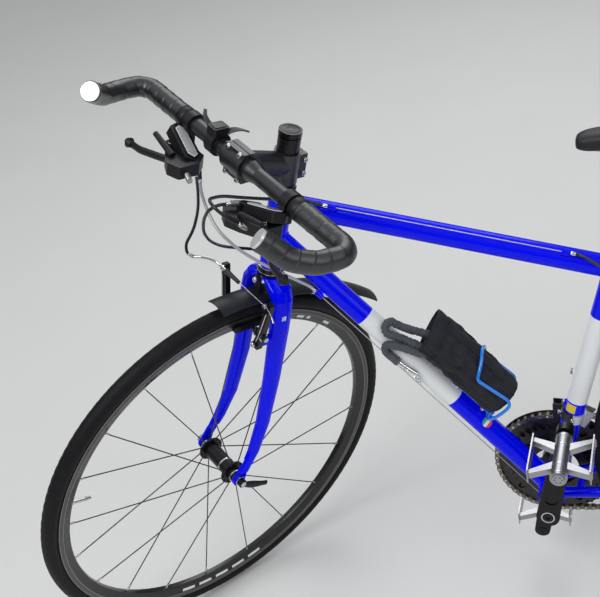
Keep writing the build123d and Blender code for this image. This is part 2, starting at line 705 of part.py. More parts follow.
with BuildPart() as accessory_bracket:
    across(bar_reach, bar_rise, -66, -50, bar_radius + 5)
    rod((bar_reach - 6, -58, bar_rise + 14), (bar_reach - 20, -58, bar_rise + 30), 6.0)
    across(bar_reach, bar_rise, -80, -40, bar_radius + seat_gap, Mode.SUBTRACT)
keep(accessory_bracket, "accessory_bracket", steer_place)

# Mudguard: a crowned strip round its own centre, on a bracket behind the crown
guard_centre = Vector(43.65, 0, -142.65)
guard_radius = 496.5
guard_half = 21.5
guard_crown = 6.0
guard_thick = 2.0
guard_start = 83.8
guard_end = 124.0
with BuildPart() as front_mudguard:
    guard_out = Vector(cos(radians(guard_start)), 0, sin(radians(guard_start)))
    with BuildSketch(Plane(origin=guard_centre, x_dir=guard_out, z_dir=guard_out.cross(Vector(0, 1, 0)))) as section:
        edge = guard_radius - guard_crown
        with BuildLine():
            ThreePointArc((edge, -guard_half), (guard_radius, 0), (edge, guard_half))
            Line((edge, guard_half), (edge - guard_thick, guard_half))
            ThreePointArc((edge - guard_thick, guard_half), (guard_radius - guard_thick, 0),
                          (edge - guard_thick, -guard_half))
            Line((edge - guard_thick, -guard_half), (edge, -guard_half))
        make_face()
    revolve(section.sketch, axis=Axis(guard_centre, (0, -1, 0)), revolution_arc=guard_end - guard_start)
    with Locations((21.5, 0, 366)):
        Box(2.5, 14, 34)
    rod((22, 0, 377), (27, 0, 377), 4.5)
keep(front_mudguard, "front_mudguard", steer_place)

arm_thick = 9.0
pad_reach = rim_radius - 10


def brake_arm(plane, side, pivot):
    """Arm of a rim brake in a plane through its pivots, with x outward and y up from them."""
    with BuildSketch(plane) as arm:
        with BuildLine():
            Polyline((side * (pivot - 8), -8), (side * (pivot + 8), -8), (side * (pivot + 13), 18),
                     (side * (pivot + 25), 88), (side * (pivot + 14), 90), (side * (pivot + 1), 20), close=True)
        make_face()
        fillet(arm.vertices(), 3)
    extrude(arm.sketch, amount=arm_thick)


def brake_pad(middle, length_way, side, pivot):
    """Pad beside the rim with its bolt, washer and nut through the arm; middle lies between the two pads."""
    with BuildSketch(Plane(origin=middle + Vector(0, side * 17 - 4, 0), x_dir=length_way, z_dir=(0, 1, 0))) as pad:
        RectangleRounded(62, 11, 4)
    extrude(pad.sketch, amount=8)
    for low, high, radius in ((19, pivot + 20, 3.2), (pivot - 8, pivot + 3, 6.2), (pivot + 10, pivot + 17, 5.2)):
        rod(middle + Vector(0, side * low, 0), middle + Vector(0, side * high, 0), radius)


brake_front = brake_ahead - 4 + arm_thick
with BuildPart() as front_brake:
    for side in (1, -1):
        brake_arm(Plane(origin=(brake_ahead - 4, 0, boss_height), x_dir=(0, 1, 0), z_dir=(1, 0, 0)), side, boss_out)
        pad_ahead = brake_ahead - 4 + arm_thick / 2
        brake_pad(Vector(pad_ahead, 0, sqrt(pad_reach**2 - (fork_rake - pad_ahead)**2)), (1, 0, 0), side, boss_out)
        rod((brake_front - 1, side * boss_out, boss_height), (brake_front + 3, side * boss_out, boss_height), 5.0)
        rod((brake_front, side * 56, 371), (brake_front + 3.5 - wire_radius, side * 56, 371), 4.5)
keep(front_brake, "front_brake", steer_place)

# Rear brake on the seat stays


def stay_point(along, back, aside):
    """Point by the rear brake: up the stays from its bosses, behind them and aside."""
    middle = Vector(rear_boss_point.X, 0, rear_boss_point.Z)
    return middle + stay_up * along + stay_back * back + Vector(0, aside, 0)


rear_pivot = rear_boss_point.Y
boss_from_hub = Vector(rear_boss_point.X, 0, rear_boss_point.Z) - rear_hub
pad_back = rear_arm_back + arm_thick / 2
pad_up = sqrt(pad_reach**2 - (boss_from_hub.dot(stay_back) + pad_back)**2) - boss_from_hub.dot(stay_up)
wire_back = rear_arm_back + arm_thick + 3.5 + seat_gap
with BuildPart() as rear_brake:
    for side in (1, -1):
        brake_arm(Plane(origin=stay_point(0, rear_arm_back, 0), x_dir=(0, -1, 0), z_dir=stay_back), side, rear_pivot)
        brake_pad(stay_point(pad_up, pad_back, 0), stay_back, side, rear_pivot)
        low = stay_point(0, rear_arm_back + arm_thick - 1, side * rear_pivot)
        rod(low, low + stay_back * 4, 5.0)
        pinch = stay_point(84, rear_arm_back + arm_thick, side * (rear_pivot + 15))
        rod(pinch, pinch + stay_back * (3.5 - wire_radius), 4.5)
keep(rear_brake, "rear_brake", frame_place)

# Crankset, about the bottom bracket with the left arm pointing ahead
crank_place = frame_place * Location((0, 0, 0), (0, -crank_angle, 0))


def crank_arm(side):
    """One arm: boss on the spindle, tapered blade, pedal boss and pedal axle."""
    with BuildSketch(Plane.XZ.offset(-side * (crank_inner + crank_thick / 2) - crank_thick / 2)) as arm:
        Circle(18)
        with Locations((side * crank_length, 0)):
            Circle(13)
        make_hull()
    extrude(arm.sketch, amount=crank_thick)
    outer = crank_inner + crank_thick
    with BuildSketch(Plane.XZ.offset(-side * outer - 2)) as recess:
        with Locations((side * 36, 0)):
            Circle(10)
        with Locations((side * 138, 0)):
            Circle(7)
        make_hull()
    extrude(recess.sketch, amount=4, mode=Mode.SUBTRACT)
    x = side * crank_length
    across(x, 0, min(side * (outer - 4), side * (outer + pedal_gap + pedal_length - 6)),
           max(side * (outer - 4), side * (outer + pedal_gap + pedal_length - 6)), pedal_axle_radius)


with BuildPart() as crank_left:
    crank_arm(1)
    across(0, 0, crank_inner - 1, crank_inner + crank_thick + 1, spindle_radius + seat_gap, Mode.SUBTRACT)
keep(crank_left, "crank_left", crank_place)

guard_plane = chain_plane - 6.5
spider_radius = 61.0
with BuildPart() as crank_right:
    crank_arm(-1)
    across(0, 0, -crank_inner, crank_inner + crank_thick - 2, spindle_radius)
    for i in range(5):
        angle = 2 * pi * i / 5 + pi / 5
        rod((0, -60, 0), (spider_radius * cos(angle), -60, spider_radius * sin(angle)), 4.5)
    across(0, 0, -crank_inner - 1, -55, 24.0)
keep(crank_right, "crank_right", crank_place)

ring_bolt_radius = 52.0
with BuildPart() as chainrings:
    for i, teeth in enumerate(ring_teeth):
        toothed(teeth, chain_plane + ring_step * i, ring_thick)
    across(0, 0, chain_plane - 1, chain_plane + 2 * ring_step + 1, 45.0)
    for i in range(5):
        angle = 2 * pi * i / 5 + pi / 5
        x = ring_bolt_radius * cos(angle)
        z = ring_bolt_radius * sin(angle)
        across(x, z, chain_plane - ring_thick / 2, chain_plane + ring_step, 5.0)
    across(0, 0, chain_plane - 2, chain_plane + 2 * ring_step + 2, 38.0, Mode.SUBTRACT)
    for i in range(5):
        angle = 2 * pi * i / 5
        for radius in (66.0, 82.0):
            across(radius * cos(angle), radius * sin(angle), chain_plane - 2, chain_plane + 2, 5.5, Mode.SUBTRACT)
keep(chainrings, "chainrings", crank_place)

with BuildPart() as chain_guard:
    across(0, 0, guard_plane - 1, guard_plane + 1, 102.0)
    for i in range(10):
        angle = 2 * pi * i / 10
        across(90 * cos(angle), 90 * sin(angle), guard_plane - 2.5, guard_plane, 3.0)
    across(0, 0, guard_plane - 2, guard_plane + 2, 62.0, Mode.SUBTRACT)
keep(chain_guard, "chain_guard", crank_place)

# Pedals, about their own axles: a barrel, diagonal arms, two serrated cage plates and a dust cap
cage_half = 44.0
cage_height = 24.0
serrations = 11
for name, side in (("left", 1), ("right", -1)):
    inner = crank_inner + crank_thick + pedal_gap
    middle = inner + pedal_length / 2
    reach = (pedal_length - 8) / 2
    serrated = []
    for edge in (1, -1):
        for i in range(2 * serrations + 1):
            level = edge * (cage_height / 2 - 3 * (i % 2))
            serrated.append((side * middle - edge * reach + edge * i * reach / serrations, level))
    with BuildPart() as pedal:
        rod((0, side * inner, 0), (0, side * (inner + pedal_length), 0), 12.0)
        rod((0, side * (inner + pedal_length - 1), 0), (0, side * (inner + pedal_length + 2), 0), 9.0)
        for x in (cage_half - 1, -cage_half - 1):
            with BuildSketch(Plane.YZ.offset(x)) as cage_plate:
                with BuildLine():
                    Polyline(*serrated, close=True)
                make_face()
            extrude(cage_plate.sketch, amount=2)
            for along in (1, -1):
                with BuildSketch(Plane.XY.offset(-5)) as spoke:
                    with Locations((0, side * middle + along * 16)):
                        Circle(8)
                    with Locations((0.96 * x, side * middle + along * (reach - 6))):
                        Circle(4)
                    make_hull()
                extrude(spoke.sketch, amount=10)
        across(0, 0, min(side * (inner - 1), side * (inner + pedal_length - 5)),
               max(side * (inner - 1), side * (inner + pedal_length - 5)), pedal_axle_radius + run_gap, Mode.SUBTRACT)
    keep(pedal, f"pedal_{name}", crank_place * Location((side * crank_length, 0, 0), (0, crank_angle, 0)))

# Chain, round the big ring, the smallest sprocket and two jockey wheels
big_radius = chain_pitch / 2 / sin(pi / ring_teeth[0])
small_radius = chain_pitch / 2 / sin(pi / sprocket_teeth[0])
jockey_teeth = 11
jockey_radius = chain_pitch / 2 / sin(pi / jockey_teeth)
upper_jockey = (-chainstay_x + 16, bb_drop - 62)
lower_jockey = (-chainstay_x + 46, bb_drop - 128)
plate_half = 4.1
plate_thick = 1.2
plate_inner = 2.4
chain_facet = radians(9)


def contacts(pulleys, shift):
    """Angles at which a belt, moved outward by a shift, meets and leaves each pulley (x, z, radius, turn)."""
    angles = []
    for i, (x, z, radius, turn) in enumerate(pulleys):
        ends = []
        for other, first in ((pulleys[i - 1], True), (pulleys[(i + 1) % len(pulleys)], False)):
            own = turn * (radius + turn * shift)
            next_reach = other[3] * (other[2] + other[3] * shift)
            dx = (other[0] - x) if not first else (x - other[0])
            dz = (other[1] - z) if not first else (z - other[1])
            step = (own - next_reach) if not first else (next_reach - own)
            heading = atan2(dz, dx) + asin(step / sqrt(dx * dx + dz * dz))
            ends.append(heading - turn * pi / 2)
        angles.append(ends)
    return angles


def rim_point(pulley, shift, angle):
    """Point of a belt at an angle round one of its pulleys."""
    x, z, radius, turn = pulley
    reach = radius + turn * shift
    return x + reach * cos(angle), z + reach * sin(angle)


def belt(pulleys, shift):
    """Corners of a belt round pulleys, moved outward by a shift."""
    loop = []
    for pulley, (start, stop) in zip(pulleys, contacts(pulleys, shift)):
        turn = pulley[3]
        sweep_angle = (stop - start) % (2 * pi) if turn == 1 else -((start - stop) % (2 * pi))
        steps = max(2, int(abs(sweep_angle) / chain_facet) + 1)
        for k in range(steps + 1):
            loop.append(rim_point(pulley, shift, start + sweep_angle * k / steps))
    return loop


def free_rollers(pulleys):
    """Places of the rollers on the free runs, clear of the teeth where the chain leaves each pulley."""
    places = []
    meets = contacts(pulleys, 0)
    for i, pulley in enumerate(pulleys):
        after = (i + 1) % len(pulleys)
        start_x, start_z = rim_point(pulley, 0, meets[i][1])
        end_x, end_z = rim_point(pulleys[after], 0, meets[after][0])
        run = sqrt((end_x - start_x)**2 + (end_z - start_z)**2)
        clear = [sqrt(2 * radius * (tooth_tip + roller_half + 0.6)) + roller_half
                 for radius in (pulley[2], pulleys[after][2])]
        count = int((run - sum(clear)) / chain_pitch) + 1
        first = clear[0] + (run - sum(clear) - (count - 1) * chain_pitch) / 2
        heading = degrees(atan2(end_z - start_z, end_x - start_x))
        for k in range(count):
            share = (first + k * chain_pitch) / run
            place = (start_x + (end_x - start_x) * share, chain_plane, start_z + (end_z - start_z) * share)
            places.append(Location(place, (0, -heading, 0)))
    return places


pulleys = (
    # x, z, radius, turn
    (0.0, 0.0, big_radius, 1),
    (-chainstay_x, bb_drop, small_radius, 1),
    (upper_jockey[0], upper_jockey[1], jockey_radius, -1),
    (lower_jockey[0], lower_jockey[1], jockey_radius, 1),
)
with BuildPart() as chain:
    for low in (chain_plane - plate_inner - plate_thick, chain_plane + plate_inner):
        with BuildSketch(Plane.XZ.offset(-low - plate_thick)) as strip:
            with BuildLine():
                Polyline(*belt(pulleys, plate_half), close=True)
            make_face()
            with BuildLine():
                Polyline(*belt(pulleys, -plate_half), close=True)
            make_face(mode=Mode.SUBTRACT)
        extrude(strip.sketch, amount=plate_thick)
    with Locations(*free_rollers(pulleys)):
        Box(2 * roller_half, 2 * plate_inner + 0.6, 2 * roller_half)
keep(chain, "chain", frame_place)

# Derailleurs
with BuildPart() as rear_derailleur:
    for jockey in (upper_jockey, lower_jockey):
        toothed(jockey_teeth, chain_plane, 2.2, jockey)
        across(jockey[0], jockey[1], chain_plane - 7, chain_plane + 7, 4.0)
    for y, upper_reach in ((chain_plane - 7, 15), (chain_plane + 5, 12)):
        with BuildSketch(Plane.XZ.offset(-y - 2)) as cage:
            with Locations(upper_jockey):
                Circle(upper_reach)
            with Locations(lower_jockey):
                Circle(10)
            make_hull()
            with Locations(((upper_jockey[0] + lower_jockey[0]) / 2, (upper_jockey[1] + lower_jockey[1]) / 2)):
                Circle(7, mode=Mode.SUBTRACT)
        extrude(cage.sketch, amount=2)
    outer = -dropout_mid - dropout_thick / 2 - seat_gap
    across(hanger[0], hanger[1], outer - 20, outer, 9.0)
    across(upper_jockey[0], upper_jockey[1], outer - 18, chain_plane - 6, 10.0)
    with BuildSketch(Plane.XZ.offset(-outer + 6)) as links:
        with Locations(hanger):
            Circle(8)
        with Locations(upper_jockey):
            Circle(8)
        make_hull()
    extrude(links.sketch, amount=11)
keep(rear_derailleur, "rear_derailleur", frame_place)

with BuildPart() as front_derailleur:
    band = 150.0
    rod(seat_point(band - 8), seat_point(band + 8), seat_tube_radius + 3)
    rod((seat_point(band).X, -10, seat_point(band).Z), (-46, -54, 128), 7.0)
    for y, inner, outer in ((chain_plane + 5, 92, 124), (chain_plane - 7, 106, 126)):
        with BuildSketch(Plane.XZ.offset(-y)) as plate:
            with BuildLine():
                Line((inner * cos(radians(92)), inner * sin(radians(92))),
                     (outer * cos(radians(92)), outer * sin(radians(92))))
                ThreePointArc((outer * cos(radians(92)), outer * sin(radians(92))),
                              (outer * cos(radians(108)), outer * sin(radians(108))),
                              (outer * cos(radians(124)), outer * sin(radians(124))))
                Line((outer * cos(radians(124)), outer * sin(radians(124))),
                     (inner * cos(radians(124)), inner * sin(radians(124))))
                ThreePointArc((inner * cos(radians(124)), inner * sin(radians(124))),
                              (inner * cos(radians(108)), inner * sin(radians(108))),
                              (inner * cos(radians(92)), inner * sin(radians(92))))
            make_face()
        extrude(plate.sketch, amount=1.2)
    across(-46, 110, chain_plane - 8.2, chain_plane + 5, 4.0)
    rod(seat_point(band - 10), seat_point(band + 10), seat_tube_radius + seat_gap, Mode.SUBTRACT)
keep(front_derailleur, "front_derailleur", frame_place)

# Cords, each a round rod along a route chosen by hand


def cord_radii(points):
    """Arc radii of a cord: 0.45 of the shorter run over the tangent of half the turn."""
    radii = []
    for before, corner, after in zip(points, points[1:], points[2:]):
        run_in = Vector(corner) - Vector(before)
        run_out = Vector(after) - Vector(corner)
        half_turn = radians(run_in.get_angle(run_out)) / 2
        radii.append(0.45 * min(run_in.length, run_out.length) / tan(half_turn))
    return radii


def cord(label, points, radius, mode=Mode.ADD):
    """Cord along a route, with its arc radii printed."""
    radii = cord_radii(points)
    print(label, "radii", [round(r) for r in radii])
    bent(points, radii, radius, mode)


# Bottle cage on the down tube, with the pouch it holds and a sleeved lock tucked in beside the tube
bottle_off = 60.0
pouch_radius = 36.0
pouch_low = 175.0
pouch_mouth = 328.0      # its edge nearest the tube; the mouth leans forward from there
mouth_lean = 32.0
lock_radius = 5.5
lock_routes = (
    (bottle_point(334, 34, 14), bottle_point(362, 22, 13), bottle_point(386, 14, 21), bottle_point(394, 27, 6),
     bottle_point(367, 30, -1), bottle_point(341, 46, -2)),
    (bottle_point(324, 30, 20), bottle_point(358, 14, 24), bottle_point(371, 3, 25), bottle_point(361, -9, 23),
     bottle_point(334, -7, 24)),
)

with BuildPart() as cage_pouch:
    rod(bottle_point(pouch_low, bottle_off), bottle_point(pouch_mouth + 80, bottle_off), pouch_radius)
    mouth_way = tube_up * cos(radians(mouth_lean)) - tube_out * sin(radians(mouth_lean))
    mouth = Plane(origin=bottle_point(pouch_mouth, bottle_off - pouch_radius), x_dir=(0, 1, 0), z_dir=mouth_way)
    with BuildSketch(mouth) as beyond:
        Rectangle(4 * pouch_radius, 8 * pouch_radius)
    extrude(beyond.sketch, amount=200, mode=Mode.SUBTRACT)
    fillet(cage_pouch.edges().sort_by(Axis(tube_foot, tube_up))[0], 9)
    for route in lock_routes:
        bent(route, cord_radii(route), lock_radius + seat_gap, Mode.SUBTRACT)
keep(cage_pouch, "cage_pouch", frame_place)

cage_wire = 2.6
wire_off = pouch_radius + cage_wire + 0.5
hoop_route = (
    # along the tube, angle from straight out to the left
    (172.0, 54), (240.0, 69), (247.0, 52), (253.0, 35), (259.0, 17), (262.0, 0),
)


def hoop_point(along, angle):
    """Point of the cage's wire round the bottle's axis."""
    return bottle_point(along, bottle_off + wire_off * cos(radians(angle)), wire_off * sin(radians(angle)))


with BuildPart() as bottle_cage:
    plate_out = bottle_off - pouch_radius - seat_gap
    left_half = [bottle_point(172, plate_out - 1.5, 6), bottle_point(172, plate_out + 4, 30), hoop_point(172, 100)]
    left_half += [hoop_point(along, angle) for along, angle in hoop_route[:-1]]
    right_half = [Vector(point.X, -point.Y, point.Z) for point in left_half]
    hoop = left_half + [hoop_point(*hoop_route[-1])] + right_half[::-1]
    cord("cage wire", hoop, cage_wire)
    with BuildSketch(Plane(origin=bottle_point(208, plate_out), x_dir=(0, 1, 0), z_dir=tube_out)) as back_plate:
        SlotOverall(92, 18, rotation=90)
    extrude(back_plate.sketch, amount=-3)
    for along in (180.0, 236.0):
        rod(bottle_point(along, 14), bottle_point(along, plate_out - 1), 5.0)
    taper(head_point(down_tube_head), bottle_point(12, 0), down_tube_head_radius + seat_gap,
          down_tube_foot_radius + seat_gap, Mode.SUBTRACT)
keep(bottle_cage, "bottle_cage", frame_place)

with BuildPart() as lock_loops:
    for route in lock_routes:
        bent(route, cord_radii(route), lock_radius)
    rod(bottle_point(334.5, -7, 24), bottle_point(300, 0, 24), 4.6)
    rod(bottle_point(304, -3, 24), bottle_point(284, -12, 20), 2.5)
keep(lock_loops, "lock_loops", frame_place)

# Cables


def steered(x, y, z):
    """Frame-side place of a point given about the steering axis, with the bar at rest."""
    turned_x = x * cos(radians(rest_steer)) - y * sin(radians(rest_steer))
    turned_y = x * sin(radians(rest_steer)) + y * cos(radians(rest_steer))
    return head_point(z) + steer_fore * turned_x + Vector(0, turned_y, 0)


with BuildPart() as brake_cable:
    cord("front brake housing", [(102, -78, 545), (90, -85, 507), (80, -93, 465), (80, -100, 425), (88, -106, 396),
                                 (86, -104, 380), (78, -96, 375)], housing_radius)
    wire_ahead = brake_front + 3.5 + seat_gap
    cord("front brake noodle", [(77.5, -95.5, 375), (70, -88, 378), (60, -78, 378), (53, -69, 375),
                                (wire_ahead + 2.3, -60, 373), (wire_ahead + 2.3, -42, 373)], 3.0)
    rod((wire_ahead + 2.3, -41.5, 373), (wire_ahead + 2.3, -10, 373), 4.5)
    rod((wire_ahead + 2.3, -9.5, 373), (wire_ahead, 60, 371), wire_radius)
keep(brake_cable, "brake_cable", steer_place)

with BuildPart() as crossing_cables:
    cord("rear gear housing", [steered(98, -72, 537), steered(93, -74, 513), steered(92, -56, 490),
                               steered(92, -24, 472), steered(77, 8, 455), steered(48, 27, 434),
                               steered(14, 44, 413), bottle_point(517, -14, stop_aside), left_stop], housing_radius)
    cord("front gear housing", [steered(141, 66, 584), steered(158, 58, 582), steered(164, 44, 566),
                                steered(158, 28, 540), steered(146, 14, 508), steered(120, -4, 474),
                                steered(78, -26, 438), steered(30, -40, 412), steered(-14, -36, 398),
                                steered(-50, -6, 389), bottle_point(517, -14, -stop_aside), right_stop], housing_radius)
    cord("rear brake housing", [steered(145, 100, 569), steered(166, 94, 582), steered(181, 78, 596),
                                steered(174, 56, 594), steered(140, 38, 580), steered(96, 28, 560),
                                steered(48, 32, 547), steered(6, 42, 542), top_stop - top_wire_way * 14, top_stop],
         housing_radius)
keep(crossing_cables, "crossing_cables", frame_place)

with BuildPart() as frame_cables:
    for side in (1, -1):
        wire_low = wire_guide_low - wire_radius - seat_gap
        bent([bottle_point(503 - stop_length - seat_gap, -14, side * stop_aside), bottle_point(80, -22, side * 10),
              Vector(14, side * 7, wire_low), Vector(-8, side * 7, wire_low)], [60, 6], wire_radius)
    rod(top_stop + top_wire_way * (stop_length + seat_gap), top_stop_rear - top_wire_way * (stop_length + seat_gap),
        wire_radius)
    over = wire_back + 2.3
    cord("rear brake rear housing", [top_stop_rear, top_stop_rear + top_wire_way * 14, Vector(-104, 34, 426),
                                     Vector(-140, 58, 411), stay_point(128, over, 74), stay_point(112.5, over, 74)],
         housing_radius)
    cord("rear brake noodle", [stay_point(112, over, 74), stay_point(98, over, 74), stay_point(88, over, 68),
                               stay_point(84, over, 56), stay_point(84, over, 42)], 3.0)
    rod(stay_point(84, over, 41.5), stay_point(84, over, 10), 4.5)
    rod(stay_point(84, over, 9.5), stay_point(84, wire_back, -rear_pivot - 19), wire_radius)
keep(frame_cables, "frame_cables", frame_place)
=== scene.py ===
"""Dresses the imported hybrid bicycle: finishes, tyres, tape, cables, pouch, lock and small parts.

Pieces are drawn in millimetres about the part that carries them, and placed in the row frame in metres.
"""
import json
import math

import bmesh
import bpy
from mathutils import Matrix, Vector, noise
from mathutils.bvhtree import BVHTree


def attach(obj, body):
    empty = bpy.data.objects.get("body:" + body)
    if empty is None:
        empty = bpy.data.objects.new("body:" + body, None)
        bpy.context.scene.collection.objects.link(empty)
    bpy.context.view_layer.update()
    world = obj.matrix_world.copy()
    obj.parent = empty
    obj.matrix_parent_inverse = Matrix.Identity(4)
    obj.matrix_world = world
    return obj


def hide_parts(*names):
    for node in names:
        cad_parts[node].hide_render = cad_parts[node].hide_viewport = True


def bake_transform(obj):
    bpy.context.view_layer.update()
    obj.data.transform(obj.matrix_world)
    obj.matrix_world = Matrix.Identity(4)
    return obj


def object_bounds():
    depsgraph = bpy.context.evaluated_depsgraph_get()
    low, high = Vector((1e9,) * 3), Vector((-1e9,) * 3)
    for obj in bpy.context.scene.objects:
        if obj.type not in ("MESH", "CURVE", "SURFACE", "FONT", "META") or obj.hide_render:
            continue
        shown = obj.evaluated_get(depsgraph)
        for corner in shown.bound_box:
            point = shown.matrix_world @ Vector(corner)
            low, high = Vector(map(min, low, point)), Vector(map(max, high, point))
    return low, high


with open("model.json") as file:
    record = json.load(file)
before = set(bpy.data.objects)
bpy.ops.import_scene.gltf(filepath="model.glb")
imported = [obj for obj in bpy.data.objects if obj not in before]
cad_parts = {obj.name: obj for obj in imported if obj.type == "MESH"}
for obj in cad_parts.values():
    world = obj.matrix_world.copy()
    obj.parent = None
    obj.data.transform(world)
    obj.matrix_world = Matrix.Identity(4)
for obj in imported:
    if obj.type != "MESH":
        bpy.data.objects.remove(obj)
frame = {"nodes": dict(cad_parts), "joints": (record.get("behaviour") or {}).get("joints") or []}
cad_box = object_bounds()

MM = 0.001
X_AXIS = Vector((1, 0, 0))
Y_AXIS = Vector((0, 1, 0))
Z_AXIS = Vector((0, 0, 1))
JOINTS = {joint["name"]: joint for joint in frame["joints"]}


def joint_point(name):
    """Where a joint is, in the row frame."""
    return Vector(JOINTS[name]["pos_m"])


def place(origin, x_way, z_way):
    """Matrix from millimetres about an origin in the row frame, with local x and z that way."""
    x = x_way.normalized()
    z = (z_way - x * z_way.dot(x)).normalized()
    matrix = Matrix((x, z.cross(x), z)).transposed().to_4x4()
    matrix.translation = origin
    return matrix @ Matrix.Scale(MM, 4)


# Places: the frame about the bottom bracket, the steering about its axis, wheels, cranks and pedals
crank_centre = joint_point("crank_spin")
front_hub = joint_point("front_wheel_spin")
steer_up = Vector(JOINTS["steering"]["axis"]).normalized()
steer_foot = joint_point("steering") + steer_up * (front_hub - joint_point("steering")).dot(steer_up)
left_arm = joint_point("pedal_left_spin") - crank_centre
left_arm.y = 0
AT_FRAME = place(crank_centre, X_AXIS, Z_AXIS)
AT_STEER = place(steer_foot, front_hub - steer_foot, steer_up)
AT_FRONT = place(front_hub, front_hub - steer_foot, steer_up)
AT_REAR = place(joint_point("rear_wheel_spin"), X_AXIS, Z_AXIS)
AT_CRANK = place(crank_centre, left_arm, left_arm.cross(Y_AXIS))
ON_FRAME = AT_FRAME, "frame"
ON_STEERING = AT_STEER, "steering"


def at_pedal(side):
    """Place of a pedal about its axle, with y counted from the bicycle's middle."""
    centre = joint_point("pedal_left_spin" if side > 0 else "pedal_right_spin")
    centre.y = 0
    return place(centre, X_AXIS, Z_AXIS)


def leaning(degrees):
    """Unit way up a tube that leans back at an angle from level, and the way forward across it."""
    angle = math.radians(degrees)
    return Vector((-math.cos(angle), 0, math.sin(angle))), Vector((math.sin(angle), 0, math.cos(angle)))


# Frame, in millimetres from the bottom bracket, as in the CAD
seat_way, seat_fore = leaning(73.45)
steer_way, steer_fore = leaning(70.37)
rest_steer = math.radians(53.1)
bb_drop, chainstay_x, front_centre, fork_offset = 66.6, 408.0, 571.5, 47.1
rear_hub = Vector((-chainstay_x, 0, bb_drop))
foot_point = Vector((front_centre, 0, bb_drop)) - steer_fore * fork_offset
tube_foot = Vector((0, 0, -2))
top_at_head, top_at_seat, down_at_head = 510.0, 421.0, 451.0
head_radius, seat_radius, shell_radius = 18.2, 15.9, 20.5
top_radius, down_foot_radius, stay_radius = 16.5, 18.0, 8.5     # the down tube is as wide as the top tube at its head


def head_point(s):
    """Point on the steering axis, s above its foot."""
    return foot_point + steer_way * s


def seat_point(s):
    """Point on the seat tube's axis, s above the bottom bracket."""
    return seat_way * s


tube_up = (head_point(down_at_head) - tube_foot).normalized()
tube_out = Vector((-tube_up.z, 0, tube_up.x))


def bottle_point(run, out=0.0, aside=0.0):
    """Point beside the down tube: along it from the bottom bracket, out from its axis and aside."""
    return tube_foot + tube_up * run + tube_out * out + Vector((0, aside, 0))


def steered(x, y, z):
    """Frame-side place of a point given about the steering axis, with the bar at rest."""
    ahead = x * math.cos(rest_steer) - y * math.sin(rest_steer)
    left = x * math.sin(rest_steer) + y * math.cos(rest_steer)
    return head_point(z) + steer_fore * ahead + Vector((0, left, 0))


# Finishes, made of shader nodes
def add(tree, kind, inputs=None, **settings):
    """Shader node of a kind; inputs are numbers, colours or other nodes' sockets by name or number."""
    made = tree.nodes.new("ShaderNode" + kind)
    for key, value in settings.items():
        setattr(made, key, value)
    for key, value in (inputs or {}).items():
        if isinstance(value, bpy.types.NodeSocket):
            tree.links.new(value, made.inputs[key])
        else:
            made.inputs[key].default_value = value
    return made


def mixed(tree, factor, first, second):
    """Colour between two colours."""
    inputs = {0: factor, 6: first, 7: second}
    return add(tree, "Mix", inputs, data_type="RGBA").outputs[2]


def tone(color, share):
    """Colour made lighter or darker by a share, as four numbers."""
    return tuple(min(1.0, c * (1 + share)) for c in color[:3]) + (1.0,)


def band(tree, where, way, low, high):
    """1 between two distances along a way from a point, both in metres, and 0 elsewhere."""
    along = add(tree, "VectorMath", {0: where, 1: way}, operation="DOT_PRODUCT").outputs["Value"]
    above = add(tree, "Math", {0: along, 1: low}, operation="GREATER_THAN").outputs[0]
    below = add(tree, "Math", {0: along, 1: high}, operation="LESS_THAN").outputs[0]
    return add(tree, "Math", {0: above, 1: below}, operation="MULTIPLY").outputs[0]


